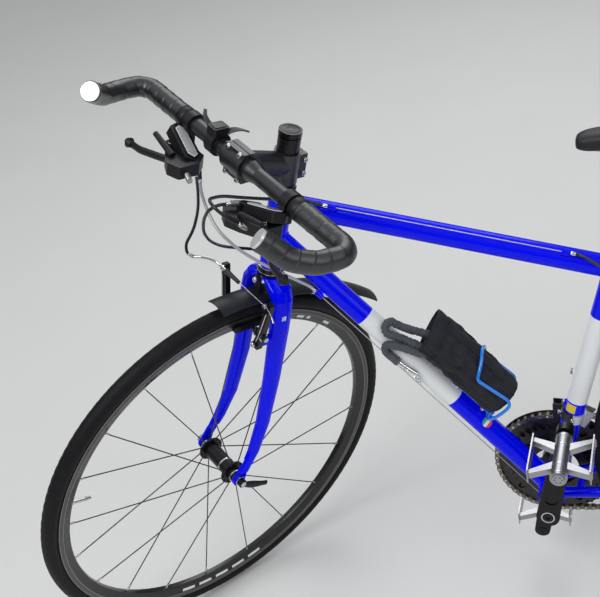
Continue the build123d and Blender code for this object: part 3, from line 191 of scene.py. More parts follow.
def surface(name, color, rough, metal=0.0, coat=0.0, spread=0.08, spread_scale=30.0, rough_spread=0.06,
            grain=0.0, grain_scale=900.0, bands=(), weave=0.0, dust=0.0, shine=0.5):
    """Material with uneven tone and gloss, fine grain, and bands of other colours along straight ways."""
    material = bpy.data.materials.new(name)
    material.use_nodes = True
    tree = material.node_tree
    shader = tree.nodes["Principled BSDF"]
    where = add(tree, "TexCoord").outputs["Object"]
    broad = add(tree, "TexNoise", {"Vector": where, "Scale": spread_scale, "Detail": 6.0}).outputs["Fac"]
    shade = mixed(tree, broad, tone(color, -spread), tone(color, spread))
    for way, low, high, other in bands:
        inside = band(tree, where, way, low, high)
        shade = mixed(tree, inside, shade, mixed(tree, broad, tone(other, -spread), tone(other, spread)))
    if dust:
        specks = add(tree, "TexNoise", {"Vector": where, "Scale": 160.0, "Detail": 8.0}).outputs["Fac"]
        patches = add(tree, "Math", {0: broad, 1: specks}, operation="MULTIPLY").outputs[0]
        level = add(tree, "MapRange", {0: patches, 1: 0.24, 2: 0.5, 3: 0.0, 4: dust}).outputs[0]
        shade = mixed(tree, level, shade, (0.32, 0.29, 0.25, 1.0))
    gloss = add(tree, "MapRange", {0: broad, 1: 0.3, 2: 0.7, 3: max(0.02, rough - rough_spread),
                                   4: min(1.0, rough + rough_spread)}).outputs[0]
    tree.links.new(shade, shader.inputs["Base Color"])
    tree.links.new(gloss, shader.inputs["Roughness"])
    shader.inputs["Metallic"].default_value = metal
    shader.inputs["Coat Weight"].default_value = coat
    shader.inputs["Coat Roughness"].default_value = 0.06
    shader.inputs["Specular IOR Level"].default_value = shine
    height = None
    if grain:
        height = add(tree, "TexNoise", {"Vector": where, "Scale": grain_scale, "Detail": 4.0}).outputs["Fac"]
    if weave:
        threads = [add(tree, "TexWave", {"Vector": where, "Scale": 260.0, "Distortion": 0.6}, wave_type="BANDS",
                       bands_direction=way).outputs["Fac"] for way in ("X", "Y", "Z")]
        pair = add(tree, "Math", {0: threads[0], 1: threads[1]}, operation="MULTIPLY").outputs[0]
        height = add(tree, "Math", {0: pair, 1: threads[2]}, operation="ADD").outputs[0]
    if height is not None:
        bump = add(tree, "Bump", {"Strength": grain or weave, "Distance": 0.0006, "Height": height})
        tree.links.new(bump.outputs["Normal"], shader.inputs["Normal"])
    return material


def along(way, point, low, high):
    """Band limits of a stretch from one distance to another past a point given in the frame's millimetres."""
    start = (AT_FRAME @ Vector(point)).dot(way)
    return start + low * MM, start + high * MM


BLUE = (0.0, 0.003, 0.92)
WHITE = (0.82, 0.84, 0.85)


def lacquer(name, bands=()):
    """The frame's blue lacquer, with bands of other colours."""
    return surface(name, BLUE, 0.2, coat=0.28, shine=0.05, spread=0.05, rough_spread=0.03, grain=0.03,
                   grain_scale=350.0, bands=bands)


paint = lacquer("frame_paint")
down_paint = lacquer("down_tube_paint", [(tube_up, *along(tube_up, tube_foot, 224, 420), WHITE)])
seat_paint = lacquer("seat_tube_paint", [(seat_way, *along(seat_way, (0, 0, 0), 179, 338), WHITE)])
black_metal = surface("black_metal", (0.004, 0.004, 0.0055), 0.26, grain=0.05, shine=0.3)
bar_black = surface("bar_black", (0.007, 0.0075, 0.0095), 0.34, grain=0.04, shine=0.75)
satin_black = surface("satin_black_metal", (0.005, 0.005, 0.0065), 0.36, grain=0.08, dust=0.01, shine=0.3)
black_plastic = surface("black_plastic", (0.007, 0.007, 0.009), 0.42, grain=0.12, grain_scale=1500.0,
                        shine=0.35)
grey_plastic = surface("grey_plastic", (0.011, 0.0125, 0.0165), 0.42, grain=0.15, grain_scale=1200.0,
                       dust=0.02, shine=0.28)
steel = surface("bright_steel", (0.62, 0.62, 0.64), 0.2, metal=1.0, spread=0.12, grain=0.05)
derailleur_finish = surface("derailleur_finish", (0.03, 0.03, 0.032), 0.3, metal=0.5, grain=0.05,
                            bands=[(X_AXIS, *along(X_AXIS, (-44, 0, 0), -120, 0), (0.6, 0.6, 0.62))])
chrome = surface("chrome", (0.78, 0.78, 0.8), 0.08, metal=1.0, spread=0.05)
alloy = surface("polished_alloy", (0.4, 0.4, 0.42), 0.34, metal=1.0, spread=0.08, grain=0.12, grain_scale=700.0)
ring_steel = surface("ring_steel", (0.035, 0.033, 0.032), 0.36, metal=0.55, spread=0.3, spread_scale=90.0, grain=0.1,
                     dust=0.12)
worn_steel = surface("chain_steel", (0.19, 0.17, 0.14), 0.4, metal=0.85, spread=0.25, spread_scale=120.0, dust=0.3)
rubber = surface("tyre_rubber", (0.008, 0.008, 0.0095), 0.55, spread=0.2, grain=0.25, grain_scale=1400.0,
                 dust=0.02, shine=0.16)
rim_black = surface("rim_black", (0.006, 0.006, 0.007), 0.28, coat=0.3, grain=0.04, shine=0.4)
brake_track = surface("brake_track", (0.11, 0.105, 0.1), 0.42, metal=0.7, spread=0.25, spread_scale=90.0, grain=0.2)
tape_finish = surface("bar_tape", (0.011, 0.0115, 0.0145), 0.32, spread=0.15, grain=0.3, grain_scale=1100.0, shine=0.85)
saddle_finish = surface("saddle_cover", (0.012, 0.0125, 0.015), 0.45, shine=0.4, grain=0.4, grain_scale=1600.0)
sleeve = surface("cable_sleeve", (0.006, 0.006, 0.008), 0.28, coat=0.2, grain=0.04, shine=0.4)
grey_sleeve = surface("grey_cable_sleeve", (0.42, 0.43, 0.44), 0.35, metal=0.3, coat=0.2, grain=0.04)
wire_steel = surface("wire_steel", (0.55, 0.54, 0.52), 0.3, metal=1.0, spread=0.15, grain=0.5, grain_scale=2500.0)
cage_blue = surface("cage_blue", (0.0, 0.22, 0.86), 0.22, coat=0.8, spread=0.05)
pouch_cloth = surface("pouch_cloth", (0.013, 0.0137, 0.0195), 0.62, spread=0.35, spread_scale=45.0,
                      weave=0.3, shine=0.35)
lock_cloth = surface("lock_sleeve", (0.085, 0.095, 0.112), 0.75, spread=0.3, spread_scale=60.0, weave=0.4, shine=0.3)
label_white = surface("blank_label", (0.78, 0.8, 0.8), 0.35, coat=0.3, spread=0.04)
yellow_label = surface("yellow_label", (0.8, 0.62, 0.03), 0.4, coat=0.3, spread=0.05)
window_finish = surface("gear_window", (0.5, 0.52, 0.54), 0.12, coat=1.0, spread=0.2, spread_scale=60.0)
cap_grey = surface("cap_grey", (0.16, 0.16, 0.17), 0.5, grain=0.1)
badge_green = surface("badge_green", (0.05, 0.36, 0.14), 0.3, coat=0.6, spread=0.04)
badge_red = surface("badge_red", (0.7, 0.06, 0.07), 0.3, coat=0.6, spread=0.04)
strap_grey = surface("strap_grey", (0.06, 0.065, 0.07), 0.5, grain=0.2, grain_scale=1300.0)
plug_white = surface("plug_silver", (0.8, 0.8, 0.8), 0.2, metal=0.35, coat=0.5, spread=0.05)


# Building meshes
def turns(count, first=0.0):
    """Angles of a whole turn in even steps."""
    return [first + 2 * math.pi * i / count for i in range(count)]


def ring_point(radius, angle, y=0.0):
    """Point at a distance and an angle about the Y axis."""
    return Vector((radius * math.cos(angle), y, radius * math.sin(angle)))


def carry(path):
    """Points of a path, each with two directions across it that turn as little as possible."""
    frames = []
    side = None
    last = len(path) - 1
    for i, point in enumerate(path):
        ahead = (path[min(i + 1, last)] - path[max(i - 1, 0)]).normalized()
        if side is None:
            side = ahead.orthogonal().normalized()
        side = (side - ahead * side.dot(ahead)).normalized()
        frames.append((point, side, ahead.cross(side)))
    return frames


def oval(middle, side, up, half_side, half_up, count=16, power=2.0):
    """Ring round a middle: an ellipse for power 2, nearer a box for more."""
    ring = []
    for angle in turns(count):
        c, s = math.cos(angle), math.sin(angle)
        reach_c = math.copysign(abs(c) ** (2 / power), c)
        reach_s = math.copysign(abs(s) ** (2 / power), s)
        ring.append(middle + side * half_side * reach_c + up * half_up * reach_s)
    return ring


def circle(middle, side, up, radius, count):
    """Round ring about a middle."""
    return oval(middle, side, up, radius, radius, count)


def smooth(points, steps=8):
    """Path through given points, rounded by a Catmull-Rom spline."""
    points = [Vector(p) for p in points]
    ends = [2 * points[0] - points[1]] + points + [2 * points[-1] - points[-2]]
    path = []
    for a, b, c, d in zip(ends, ends[1:], ends[2:], ends[3:]):
        for i in range(steps):
            t = i / steps
            path.append(0.5 * ((2 * b) + (c - a) * t + (2 * a - 5 * b + 4 * c - d) * t * t
                               + (3 * b - a - 3 * c + d) * t ** 3))
    return path + [points[-1]]


def filleted(points, radii, steps):
    """Path of straight runs joined by arcs, as the CAD's routes are."""
    points = [Vector(p) for p in points]
    path = [points[0]]
    for before, corner, after, radius in zip(points, points[1:], points[2:], radii):
        back, ahead = (before - corner).normalized(), (after - corner).normalized()
        half = back.angle(ahead) / 2
        middle = (back + ahead).normalized()
        centre = corner + middle * (radius / math.sin(half))
        start = corner + back * (radius / math.tan(half)) - centre
        stop = corner + ahead * (radius / math.tan(half)) - centre
        swing = start.angle(stop)
        for i in range(steps + 1):
            share = i / steps
            arm = start * math.sin((1 - share) * swing) + stop * math.sin(share * swing)
            path.append(centre + arm / math.sin(swing))
    return path + [points[-1]]


def dense(path, gap):
    """The same path with points no further apart than a gap."""
    out = [path[0]]
    for a, b in zip(path, path[1:]):
        parts = max(1, math.ceil((b - a).length / gap))
        out.extend(a.lerp(b, i / parts) for i in range(1, parts + 1))
    return out


def put(name, data):
    """Makes an object and links it to the scene."""
    made = bpy.data.objects.new(name, data)
    bpy.context.scene.collection.objects.link(made)
    return made


def refine(made, levels):
    """Smooths an object by subdividing it."""
    finer = made.modifiers.new("finer", "SUBSURF")
    finer.levels = finer.render_levels = levels


class Shape:
    """A piece under construction; marks number its faces' materials."""

    def __init__(self):
        self.points = []
        self.faces = []
        self.marks = []

    def face(self, corners, mark):
        self.faces.append(corners)
        self.marks.append(mark)

    def loft(self, rings, mark=0, closed=False):
        """Skin over rings of equal count, with flat ends or closed on itself."""
        start = len(self.points)
        count = len(rings[0])
        for ring in rings:
            self.points.extend(Vector(p) for p in ring)
        for i in range(len(rings) if closed else len(rings) - 1):
            low = start + i * count
            high = start + (i + 1) % len(rings) * count
            for j in range(count):
                k = (j + 1) % count
                self.face((low + j, low + k, high + k, high + j), mark)
        if not closed:
            self.face(tuple(range(start + count - 1, start - 1, -1)), mark)
            self.face(tuple(range(len(self.points) - count, len(self.points))), mark)

    def tube(self, path, radius, count=12, mark=0, closed=False):
        """Round tube along a path; radius is a number or one for each point."""
        radii = radius if isinstance(radius, (list, tuple)) else [radius] * len(path)
        self.loft([circle(p, side, up, r, count) for (p, side, up), r in zip(carry(path), radii)], mark, closed=closed)

    def rod(self, start, end, radius, count=20, mark=0, far_radius=None, edge=0.0):
        """Round rod or cone, with its end edges broken by a small chamfer."""
        start, end = Vector(start), Vector(end)
        far = radius if far_radius is None else far_radius
        ahead = (end - start).normalized()
        path = [(start, radius - edge), (start + ahead * edge, radius), (end - ahead * edge, far), (end, far - edge)]
        side = ahead.orthogonal().normalized()
        up = ahead.cross(side)
        stations = path if edge else [path[0], path[-1]]
        self.loft([circle(p, side, up, r, count) for p, r in stations], mark)

    def lathe(self, profile, count=64, mark=0, middle=(0, 0, 0)):
        """Closed (radius, y) outline turned about the Y axis; marks may be one for each side of it."""
        middle = Vector(middle)
        first = len(self.marks)
        self.loft([[middle + ring_point(r, angle, y) for r, y in profile] for angle in turns(count)], closed=True)
        if isinstance(mark, int):
            mark = [mark] * len(profile)
        for i in range(first, len(self.marks)):
            self.marks[i] = mark[(i - first) % len(profile)]

    def plate(self, outline, x_way, y_way, middle, low, high, mark=0):
        """Flat plate: an outline of (x, y) along two ways, from low to high across them."""
        middle, x_way, y_way = Vector(middle), Vector(x_way).normalized(), Vector(y_way).normalized()
        across = x_way.cross(y_way)
        rings = [[middle + x_way * x + y_way * y + across * level for x, y in outline] for level in (low, high)]
        self.loft(rings, mark)

    def along_y(self, low, high, radius, count=32, mark=0, far_radius=None, edge=0.0, at=(0, 0)):
        """Round rod or cone along Y from low to high, at a place (x, z)."""
        self.rod((at[0], low, at[1]), (at[0], high, at[1]), radius, count, mark, far_radius, edge)

    def collar(self, low, high, inner, outer, count=40, mark=0, middle=(0, 0, 0)):
        """Ring about the Y axis with a square section."""
        self.lathe([(inner, low), (outer, low), (outer, high), (inner, high)], count, mark, middle=middle)

    def piece(self, name, at, body, finishes, slot, replaced=(), smooth_angle=38.0, subdivide=0):
        """Makes the object, sets it in its place and says what carries it."""
        mesh = bpy.data.meshes.new(name)
        mesh.from_pydata([at @ p for p in self.points], [], self.faces)
        for finish in finishes:
            mesh.materials.append(finish)
        mesh.polygons.foreach_set("material_index", self.marks)
        work = bmesh.new()
        work.from_mesh(mesh)
        bmesh.ops.recalc_face_normals(work, faces=work.faces)
        work.to_mesh(mesh)
        work.free()
        mesh.polygons.foreach_set("use_smooth", [True] * len(mesh.polygons))
        if smooth_angle < 180:
            mesh.set_sharp_from_angle(angle=math.radians(smooth_angle))
        made = put(name, mesh)
        if subdivide:
            refine(made, subdivide)
        if body:
            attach(made, body)
        if replaced:
            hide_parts(*replaced)
        return made


def dress(material, *nodes):
    """Gives CAD nodes a finish."""
    for name in nodes:
        mesh = frame["nodes"][name].data
        mesh.materials.clear()
        mesh.materials.append(material)


# Finishes of the CAD nodes that stay
dress(paint, "head_tube", "top_tube", "bottom_bracket", "chainstay_left", "chainstay_right", "seatstay_left",
      "seatstay_right", "dropout_left", "dropout_right", "stay_bridges", "fork_blade_left", "fork_blade_right")
dress(down_paint, "down_tube")
dress(seat_paint, "seat_tube")
dress(bar_black, "stem", "handlebar")
dress(black_metal, "stem_spacers", "accessory_bracket", "headset_cups", "fork_steerer",
      "crank_left", "crank_right", "seat_clamp")
dress(satin_black, "seatpost", "front_hub", "rear_hub", "rear_brake", "front_brake", "rear_derailleur", "rear_axle",
      "front_axle")
dress(black_plastic, "chain_guard", "control_left", "control_right", "brake_levers")
dress(alloy, "pedal_left", "pedal_right")
dress(plug_white, "bar_end_plugs")
dress(steel, "saddle_rails")
dress(derailleur_finish, "front_derailleur")
dress(worn_steel, "chain", "cassette")
dress(ring_steel, "chainrings")
dress(rubber, "front_tyre", "rear_tyre")
dress(rim_black, "front_rim", "rear_rim", "front_spokes", "rear_spokes")
dress(tape_finish, "bar_tape_left", "bar_tape_right")
dress(saddle_finish, "saddle")
dress(window_finish, "gear_windows")
dress(grey_plastic, "front_mudguard")
dress(sleeve, "brake_cable", "crossing_cables")
dress(wire_steel, "frame_cables")
dress(cage_blue, "bottle_cage")
dress(pouch_cloth, "cage_pouch")

# Wheels: name, place, body, number of spokes
wheels = ("front", AT_FRONT, "front_wheel", 20), ("rear", AT_REAR, "rear_wheel", 24)
bead_radius = 316.0


def tyre(name, at, body):
    """Tyre with a round crown, shoulder sipes and plain side walls."""
    count, crown, sipes = 360, 16, 120
    half_width, bead_half = 14.3, 9.5
    wall = [(bead_radius + 0.1, bead_half), (bead_radius + 2.5, bead_half + 1.2), (bead_radius + 4.5, 12.6)]
    outline = [(r, -y) for r, y in wall]
    for i in range(crown + 1):
        angle = math.radians(-92 + 184 * i / crown)
        outline.append((bead_radius + 9.6 + 14.2 * math.cos(angle), half_width * math.sin(angle)))
    outline += wall[::-1]
    shape = Shape()
    rings = []
    for i, angle in enumerate(turns(count)):
        ring = []
        for r, y in outline:
            lean = abs(y) / half_width
            phase = (i / count * sipes + (0.5 if y > 0 else 0.0) + lean * 0.9) % 1.0
            cut = 0.7 if 0.34 < lean < 0.9 and phase < 0.34 else 0.0
            ring.append(ring_point(r - cut, angle, y))
        rings.append(ring)
    shape.loft(rings, closed=True)
    shape.piece(f"{name}_tyre_tread", at, body, [rubber], "tyre", (f"{name}_tyre",), 60)


def rim(name, at, body):
    """Rim with machined brake tracks on both sides."""
    shape = Shape()
    side = [(0, 11.0), (9.5, 11.0), (10.3, 10.4), (18, 8.6), (23, 5.0)]
    depths = [(0, -9.0)] + [(depth, -y) for depth, y in side] + [(24, 0.0)] + side[::-1]
    depths += [(0, 9.0), (6, 7.5), (8, 0.0), (6, -7.5)]
    outline = [(bead_radius - depth, y) for depth, y in depths]
    marks = [0] * len(outline)
    marks[1] = marks[10] = 1
    shape.lathe(outline, 180, marks)
    shape.piece(f"{name}_rim_profile", at, body, [rim_black, brake_track], "rim_black", (f"{name}_rim",), 30)


def nipples(name, at, body, count):
    """Nipples where the spokes enter the rim, and the valve."""
    shape = Shape()
    bed = bead_radius - 24
    for i, angle in enumerate(turns(count)):
        side = 1 if i % 2 == 0 else -1
        shape.rod(ring_point(bed + 0.6, angle, side * 1.4), ring_point(bed - 11, angle, side * 2.2), 2.0, 8,
                  far_radius=1.5)
    angle = math.pi / count
    for start, stop, radius, corners, far_radius in ((-0.5, 3, 3.6, 6, 3.6), (3, 24, 3.0, 12, 3.0),
                                                     (24, 34, 3.6, 12, 2.4)):
        shape.rod(ring_point(bed - start, angle), ring_point(bed - stop, angle), radius, corners,
                  far_radius=far_radius)
    shape.piece(f"{name}_nipples", at, body, [steel], "bright_steel")


for name, at, body, spokes in wheels:
    tyre(name, at, body)
    rim(name, at, body)
    nipples(name, at, body, spokes)

# Handlebar tape, wound outward along the bar
bar_reach, bar_rise, bar_half, bar_radius = 84.0, 601.0, 254.0, 12.7
body_top = bar_rise - 25
tape_start = 132.0
horn_radii = [24, 70, 40]


def horn(side):
    """Route of one end of the bar from where its tape starts, as in the CAD."""
    # ahead of the bar, out from the bicycle's middle, above the bar
    corners = ((0, tape_start, 0), (0, bar_half, 0), (56, bar_half - 4, 0), (88, bar_half - 18, 6),
               (121, bar_half - 44, 31))
    return [(bar_reach + ahead, side * out, bar_rise + above) for ahead, out, above in corners]


def bar_tape(name, side):
    """Overlapping turns of tape: each turn stands proud at its edge, and the edge runs askew."""
    path = dense(filleted(horn(side), horn_radii, 10), 1.1)
    turn, around = 21.0, 36
    shape = Shape()
    rings = []
    run = 0.0
    last = None
    for point, across, up in carry(path):
        run += 0.0 if last is None else (point - last).length
        last = point
        ring = []
        for j, angle in enumerate(turns(around)):
            share = (run / turn + side * j / around) % 1.0
            edge = min(1.0, share / 0.06) * (1.0 - 0.55 * share)
            wobble = noise.noise(Vector((run * 0.05, j * 0.4, side))) * 0.35
            reach = bar_radius + 2.2 + 1.25 * edge + wobble
            ring.append(point + across * reach * math.cos(angle) + up * reach * math.sin(angle))
        rings.append(ring)
    shape.loft(rings)
    shape.along_y(side * (tape_start - 1.5), side * (tape_start + 14), bar_radius + 3.6, 40, 1, edge=0.8,
                  at=(bar_reach, bar_rise))
    shape.piece(f"{name}_wound", *ON_STEERING, [tape_finish, black_plastic], "bar_tape", (name,), 50)


bar_tape("bar_tape_left", 1)
bar_tape("bar_tape_right", -1)


def hexagon(middle, side, up, reach, count):
    """Hexagon round a middle, with as many points as the rings beside it."""
    ring = []
    for angle in turns(count):
        r = reach * math.cos(math.pi / 6) / math.cos(angle % (math.pi / 3) - math.pi / 6)
        ring.append(middle + side * r * math.cos(angle) + up * r * math.sin(angle))
    return ring


def bolt(shape, foot, way, radius, height, mark=0):
    """Socket-head bolt standing on its foot."""
    foot, way = Vector(foot), Vector(way).normalized()
    side = way.orthogonal().normalized()
    up = way.cross(side)
    rings = [circle(foot + way * height * share, side, up, radius * reach, 24)
             for share, reach in ((0, 1), (0.82, 1), (1, 0.87))]
    rings += [hexagon(foot + way * height * share, side, up, radius * reach, 24)
              for share, reach in ((1, 0.55), (0.35, 0.52))]
    shape.loft(rings, mark)


def weld(shape, foot, way, radius, main_point, main_way, main_radius, bead=1.9):
    """Rippled bead where the lines of a tube's skin meet the main tube's; foot lies on the main tube's axis."""
    foot, way = Vector(foot), Vector(way).normalized()
    main_point, main_way = Vector(main_point), Vector(main_way).normalized()
    side = way.orthogonal().normalized()
    up = way.cross(side)
    count = 144
    run = []
    for angle in turns(count):
        out = side * math.cos(angle) + up * math.sin(angle)
        start = foot + out * radius
        gap = start - main_point
        gap -= main_way * gap.dot(main_way)
        step = way - main_way * way.dot(main_way)
        a, b, c = step.dot(step), 2 * gap.dot(step), gap.dot(gap) - main_radius ** 2
        run.append((start + way * ((-b + math.sqrt(max(0.0, b * b - 4 * a * c))) / (2 * a)), out))
    rings = []
    for i, (point, out) in enumerate(run):
        ahead = (run[(i + 1) % count][0] - run[i - 1][0]).normalized()
        thick = bead * (1.0 + 0.14 * math.sin(i * 2 * math.pi / 4.5))
        rings.append(circle(point, out, ahead.cross(out).normalized(), thick, 10))
    shape.loft(rings, closed=True)


def soften(width, *nodes):
    """Breaks the edges of CAD nodes that stay, without touching their own vertices."""
    for name in nodes:
        node = frame["nodes"][name]
        flat = node.modifiers.new("whole_faces", "DECIMATE")
        flat.decimate_type = "DISSOLVE"
        flat.angle_limit = math.radians(1.5)
        rounding = node.modifiers.new("rounding", "BEVEL")
        rounding.width = width * MM
        rounding.segments = 2
        rounding.limit_method = "ANGLE"
        rounding.angle_limit = math.radians(40)
        rounding.use_clamp_overlap = True
        rounding.harden_normals = True


soften(1.2, "control_left", "control_right", "stem", "accessory_bracket")
soften(0.8, "front_brake", "rear_brake", "crank_left", "crank_right", "seat_clamp", "seatpost", "dropout_left",
       "dropout_right", "rear_derailleur", "front_derailleur")

# Welds where the frame's tubes meet, each (foot, way, radius, main tube's point, way and radius)
welds = Shape()
top_head, top_seat, down_head = head_point(top_at_head), seat_point(top_at_seat), head_point(down_at_head)
shell = (0, 0, 0), Y_AXIS, shell_radius
for joint in ((top_head, top_seat - top_head, top_radius, top_head, steer_way, head_radius),
              (down_head, tube_foot - down_head, top_radius, down_head, steer_way, head_radius),
              (top_seat, top_head - top_seat, top_radius, top_seat, seat_way, seat_radius),
              ((0, 0, 0), seat_way, seat_radius, *shell), (tube_foot, tube_up, down_foot_radius, *shell)):
    weld(welds, *joint)
for side in (1, -1):
    stay_foot = Vector((-12, side * 22, 2))
    stay_tip = rear_hub + Vector((34, side * 70, -6))
    weld(welds, stay_foot, stay_tip - stay_foot, stay_radius, *shell, 1.5)
welds.piece("frame_welds", *ON_FRAME, [paint], "frame_paint", smooth_angle=180)

# Bottle bosses' bolts, the bottom bracket's cups and the seat clamp's bolt
small = Shape()
for boss in (168.0, 228.0):
    bolt(small, seat_point(boss) + seat_fore * 17.8, seat_fore, 4.4, 3.2)
for side in (1, -1):
    small.along_y(side * 34, side * 39.2, 18.2, 40, 1, edge=0.6)
    for angle in turns(8):
        notch = ring_point(15.6, angle, side * 37)
        small.rod(notch, notch + Y_AXIS * side * 2.6, 1.6, 12)
clamp = seat_point(459) - seat_fore * 22 - Z_AXIS * 6
bolt(small, clamp + Y_AXIS * 14, Y_AXIS, 4.2, 4.0)
small.rod(clamp - Y_AXIS * 14, clamp - Y_AXIS * 19, 4.6, 6)
small.piece("frame_fasteners", *ON_FRAME, [steel, black_metal], "bright_steel", smooth_angle=30)

# Stem: bolts, rings between the spacers and the top cap
hardware = Shape()
for y in (14, -14):
    for z in (bar_rise - 19.5, bar_rise + 19.5):
        bolt(hardware, (bar_reach + 11.8, y, z), X_AXIS, 4.2, 4.4)
for z in (563, 585):
    bolt(hardware, (-24, 12, z), Y_AXIS, 4.0, 4.2)
    hardware.along_y(-12, -15, 3.8, 16, at=(-24, z))
for z in (605.5, 613.5, 621.0):
    hardware.loft([circle(Z_AXIS * (z + step), X_AXIS, Y_AXIS, r, 48) for step, r in
                   ((-0.4, 17.0), (-0.2, 17.25), (0.2, 17.25), (0.4, 17.0))], 2)
hardware.piece("stem_hardware", *ON_STEERING, [steel, chrome, black_metal], "bright_steel", smooth_angle=35)
cap = Shape()
cap.loft([circle(Z_AXIS * z, X_AXIS, Y_AXIS, r, 48) for z, r in
          ((626.0, 17.4), (630.5, 17.4), (633.2, 16.2), (634.4, 13.0), (634.6, 6.0), (633.0, 5.0), (631.0, 4.6))])
cap.piece("stem_cap", *ON_STEERING, [black_metal], "black_metal", smooth_angle=50)


def cord_radii(points):
    """Arc radii of a cord: 0.45 of the shorter run over the tangent of half the turn."""
    radii = []
    for before, corner, after in zip(points, points[1:], points[2:]):
        run_in, run_out = Vector(corner) - Vector(before), Vector(after) - Vector(corner)
        radii.append(0.45 * min(run_in.length, run_out.length) / math.tan(run_in.angle(run_out) / 2))
    return radii


def cord_path(points, gap=6.0, steps=10):
    """Rounded path of a cord through its given points, with no gap longer than that."""
    return dense(filleted(points, cord_radii(points), steps), gap)


def ferrule(shape, path, length, radius):
    """Metal sleeve over the start of a housing's path."""
    end, inner = path[0], path[0]
    for point in path:
        if (point - end).length > length:
            break
        inner = point
    shape.rod(end, end + (inner - end).normalized() * length, radius, 20, 1, edge=0.5)


def housing(shape, route, mark=0, start_cap=(8.0, 3.0), end_cap=(8.0, 3.0)):
    """Cable housing along a route, with a ferrule (length, radius) on each end."""
    path = cord_path(route)
    shape.tube(path, 2.45, 14, mark)
    ferrule(shape, path[::-1], *end_cap)
    ferrule(shape, path, *start_cap)


def brake_pull(shape, noodle, boot_start, boot_end, wire):
    """Bent guide pipe, ribbed rubber boot and bare wire, which draw a brake's arms together."""
    shape.tube(cord_path(noodle), 2.4, 16, 1)
    start, end = Vector(boot_start), Vector(boot_end)
    ribs = 36
    shape.tube([start.lerp(end, i / ribs) for i in range(ribs + 1)],
               [4.5 - 1.3 * i / ribs - (0.7 if i % 4 in (1, 2) else 0.0) for i in range(ribs + 1)], 20)
    shape.tube([Vector(p) for p in wire], 0.8, 10, 2)


def brake_fittings(name, at, body, spot, way, pivot, low, tip, pad):
    """Bolts, springs and pads of a brake; spot gives a point up from its pivots, out from its arms and aside."""
    shape = Shape()
    for side in (1, -1):
        bolt(shape, spot(0, 2.6, side * pivot), way, 4.6, 3.6)
        bolt(shape, spot(*tip, side * (pivot + 15)), way, 4.4, 4.4)
        spring = [spot(run, out, side * (pivot + aside))
                  for run, out, aside in ((low, 1.2, 3), (20, 1.8, 8), (50, 1.4, 14), (70, 1.0, 18))]
        shape.tube(smooth(spring), 0.9, 8)
        for start, stop, radius, corners in ((-6.5, -5.2, 6.9, 24), (-4.2, -2.9, 6.9, 24), (12.2, 13.5, 6.9, 24),
                                             (17.5, 21.5, 4.4, 6)):
            shape.along_y(side * (pivot + start), side * (pivot + stop), radius, corners, at=(pad.x, pad.z))
    shape.piece(f"{name}_brake_hardware", at, body, [steel], "bright_steel", smooth_angle=32)


stop_aside = 19.0
left_stop, right_stop = (bottle_point(503, -14, side * stop_aside) for side in (1, -1))
top_stop, top_stop_rear = Vector((277, 15, 529)), Vector((-62, 15, 438))
top_wire_way = (top_stop_rear - top_stop).normalized()
# gear housings to the left and right stops and the rear brake's: points about the steering, end at the frame, finish
crossing = (
    (((98, -72, 537), (93, -74, 513), (92, -56, 490), (92, -24, 472), (77, 8, 455), (48, 27, 434), (14, 44, 413)),
     (left_stop + tube_up * 14, left_stop), 2),
    (((141, 66, 584), (158, 58, 582), (164, 44, 566), (158, 28, 540), (146, 14, 508), (120, -4, 474), (78, -26, 438),
      (30, -40, 412), (-14, -36, 398), (-50, -6, 389)), (right_stop + tube_up * 14, right_stop), 0),
    (((145, 100, 569), (166, 94, 582), (181, 78, 596), (174, 56, 594), (140, 38, 580), (96, 28, 560), (48, 32, 547),
      (6, 42, 542)), (top_stop - top_wire_way * 14, top_stop), 0),
)
housings = Shape()
for points, stops, mark in crossing:
    housing(housings, [steered(*point) for point in points] + list(stops), mark, end_cap=(9.0, 3.0))
crossing_piece = housings.piece("crossing_housings", AT_FRAME, None, [sleeve, steel, grey_sleeve], "cable_sleeve",
                                ("crossing_cables",), smooth_angle=60)
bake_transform(crossing_piece)

brake_front, brake_foot = 45.0, 286.0
wire_ahead = brake_front + 3.55
noodle_ahead, noodle_height = wire_ahead + 2.3, 373.0


def fork_point(run, out, aside):
    """Point by the front brake: up the fork from its pivots, ahead of its arms and aside."""
    return Vector((brake_front + out, aside, brake_foot + run))


front_line = Shape()
housing(front_line, [(102, -78, 545), (90, -85, 507), (80, -93, 465), (80, -100, 425), (88, -106, 396), (86, -104, 380),
                     (78, -96, 375)], end_cap=(10.0, 3.1))
brake_pull(front_line, [(77.5, -95.5, 375), (70, -88, 378), (60, -78, 378), (53, -69, 375),
                        (noodle_ahead, -60, noodle_height), (noodle_ahead, -42, noodle_height)],
           (noodle_ahead, -44, noodle_height), (noodle_ahead, -10, noodle_height),
           [(noodle_ahead, -10, noodle_height), (wire_ahead, 60, 371), (wire_ahead + 1, 70, 369),
            (wire_ahead + 3, 82, 364)])
front_line.rod((wire_ahead + 3, 80, 365), (wire_ahead + 4.6, 87, 361.5), 1.5, 12, 1)
front_line.piece("front_brake_line", *ON_STEERING, [sleeve, steel, wire_steel], "cable_sleeve",
                 ("brake_cable",), smooth_angle=60)
brake_fittings("front", *ON_STEERING, fork_point, X_AXIS, 41, 6, (85, 2.6), Vector((40.5, 0, 305.9)))

# Gear windows: a black bezel, a thin white line, a pale face and its marks
window_outline = ((-34, 0), (-27, -9.5), (27, -9.5), (34, 0), (27, 9.5), (-27, 9.5))
tick_outline = ((-0.35, 4.2), (0.35, 4.2), (0.35, 6.6), (-0.35, 6.6))


def deck_point(side, x, y, level):
    """Point on the sloping top of a shifter: out along the bar, ahead and above it."""
    middle = Vector((bar_reach + 26, side * 98, bar_rise - 14))
    way = Vector((-11, side * 65, 19)).normalized()
    normal = Vector((-0.231, side * -0.309, 0.923)).normalized()
    return middle + way * x + normal.cross(way) * y + normal * level


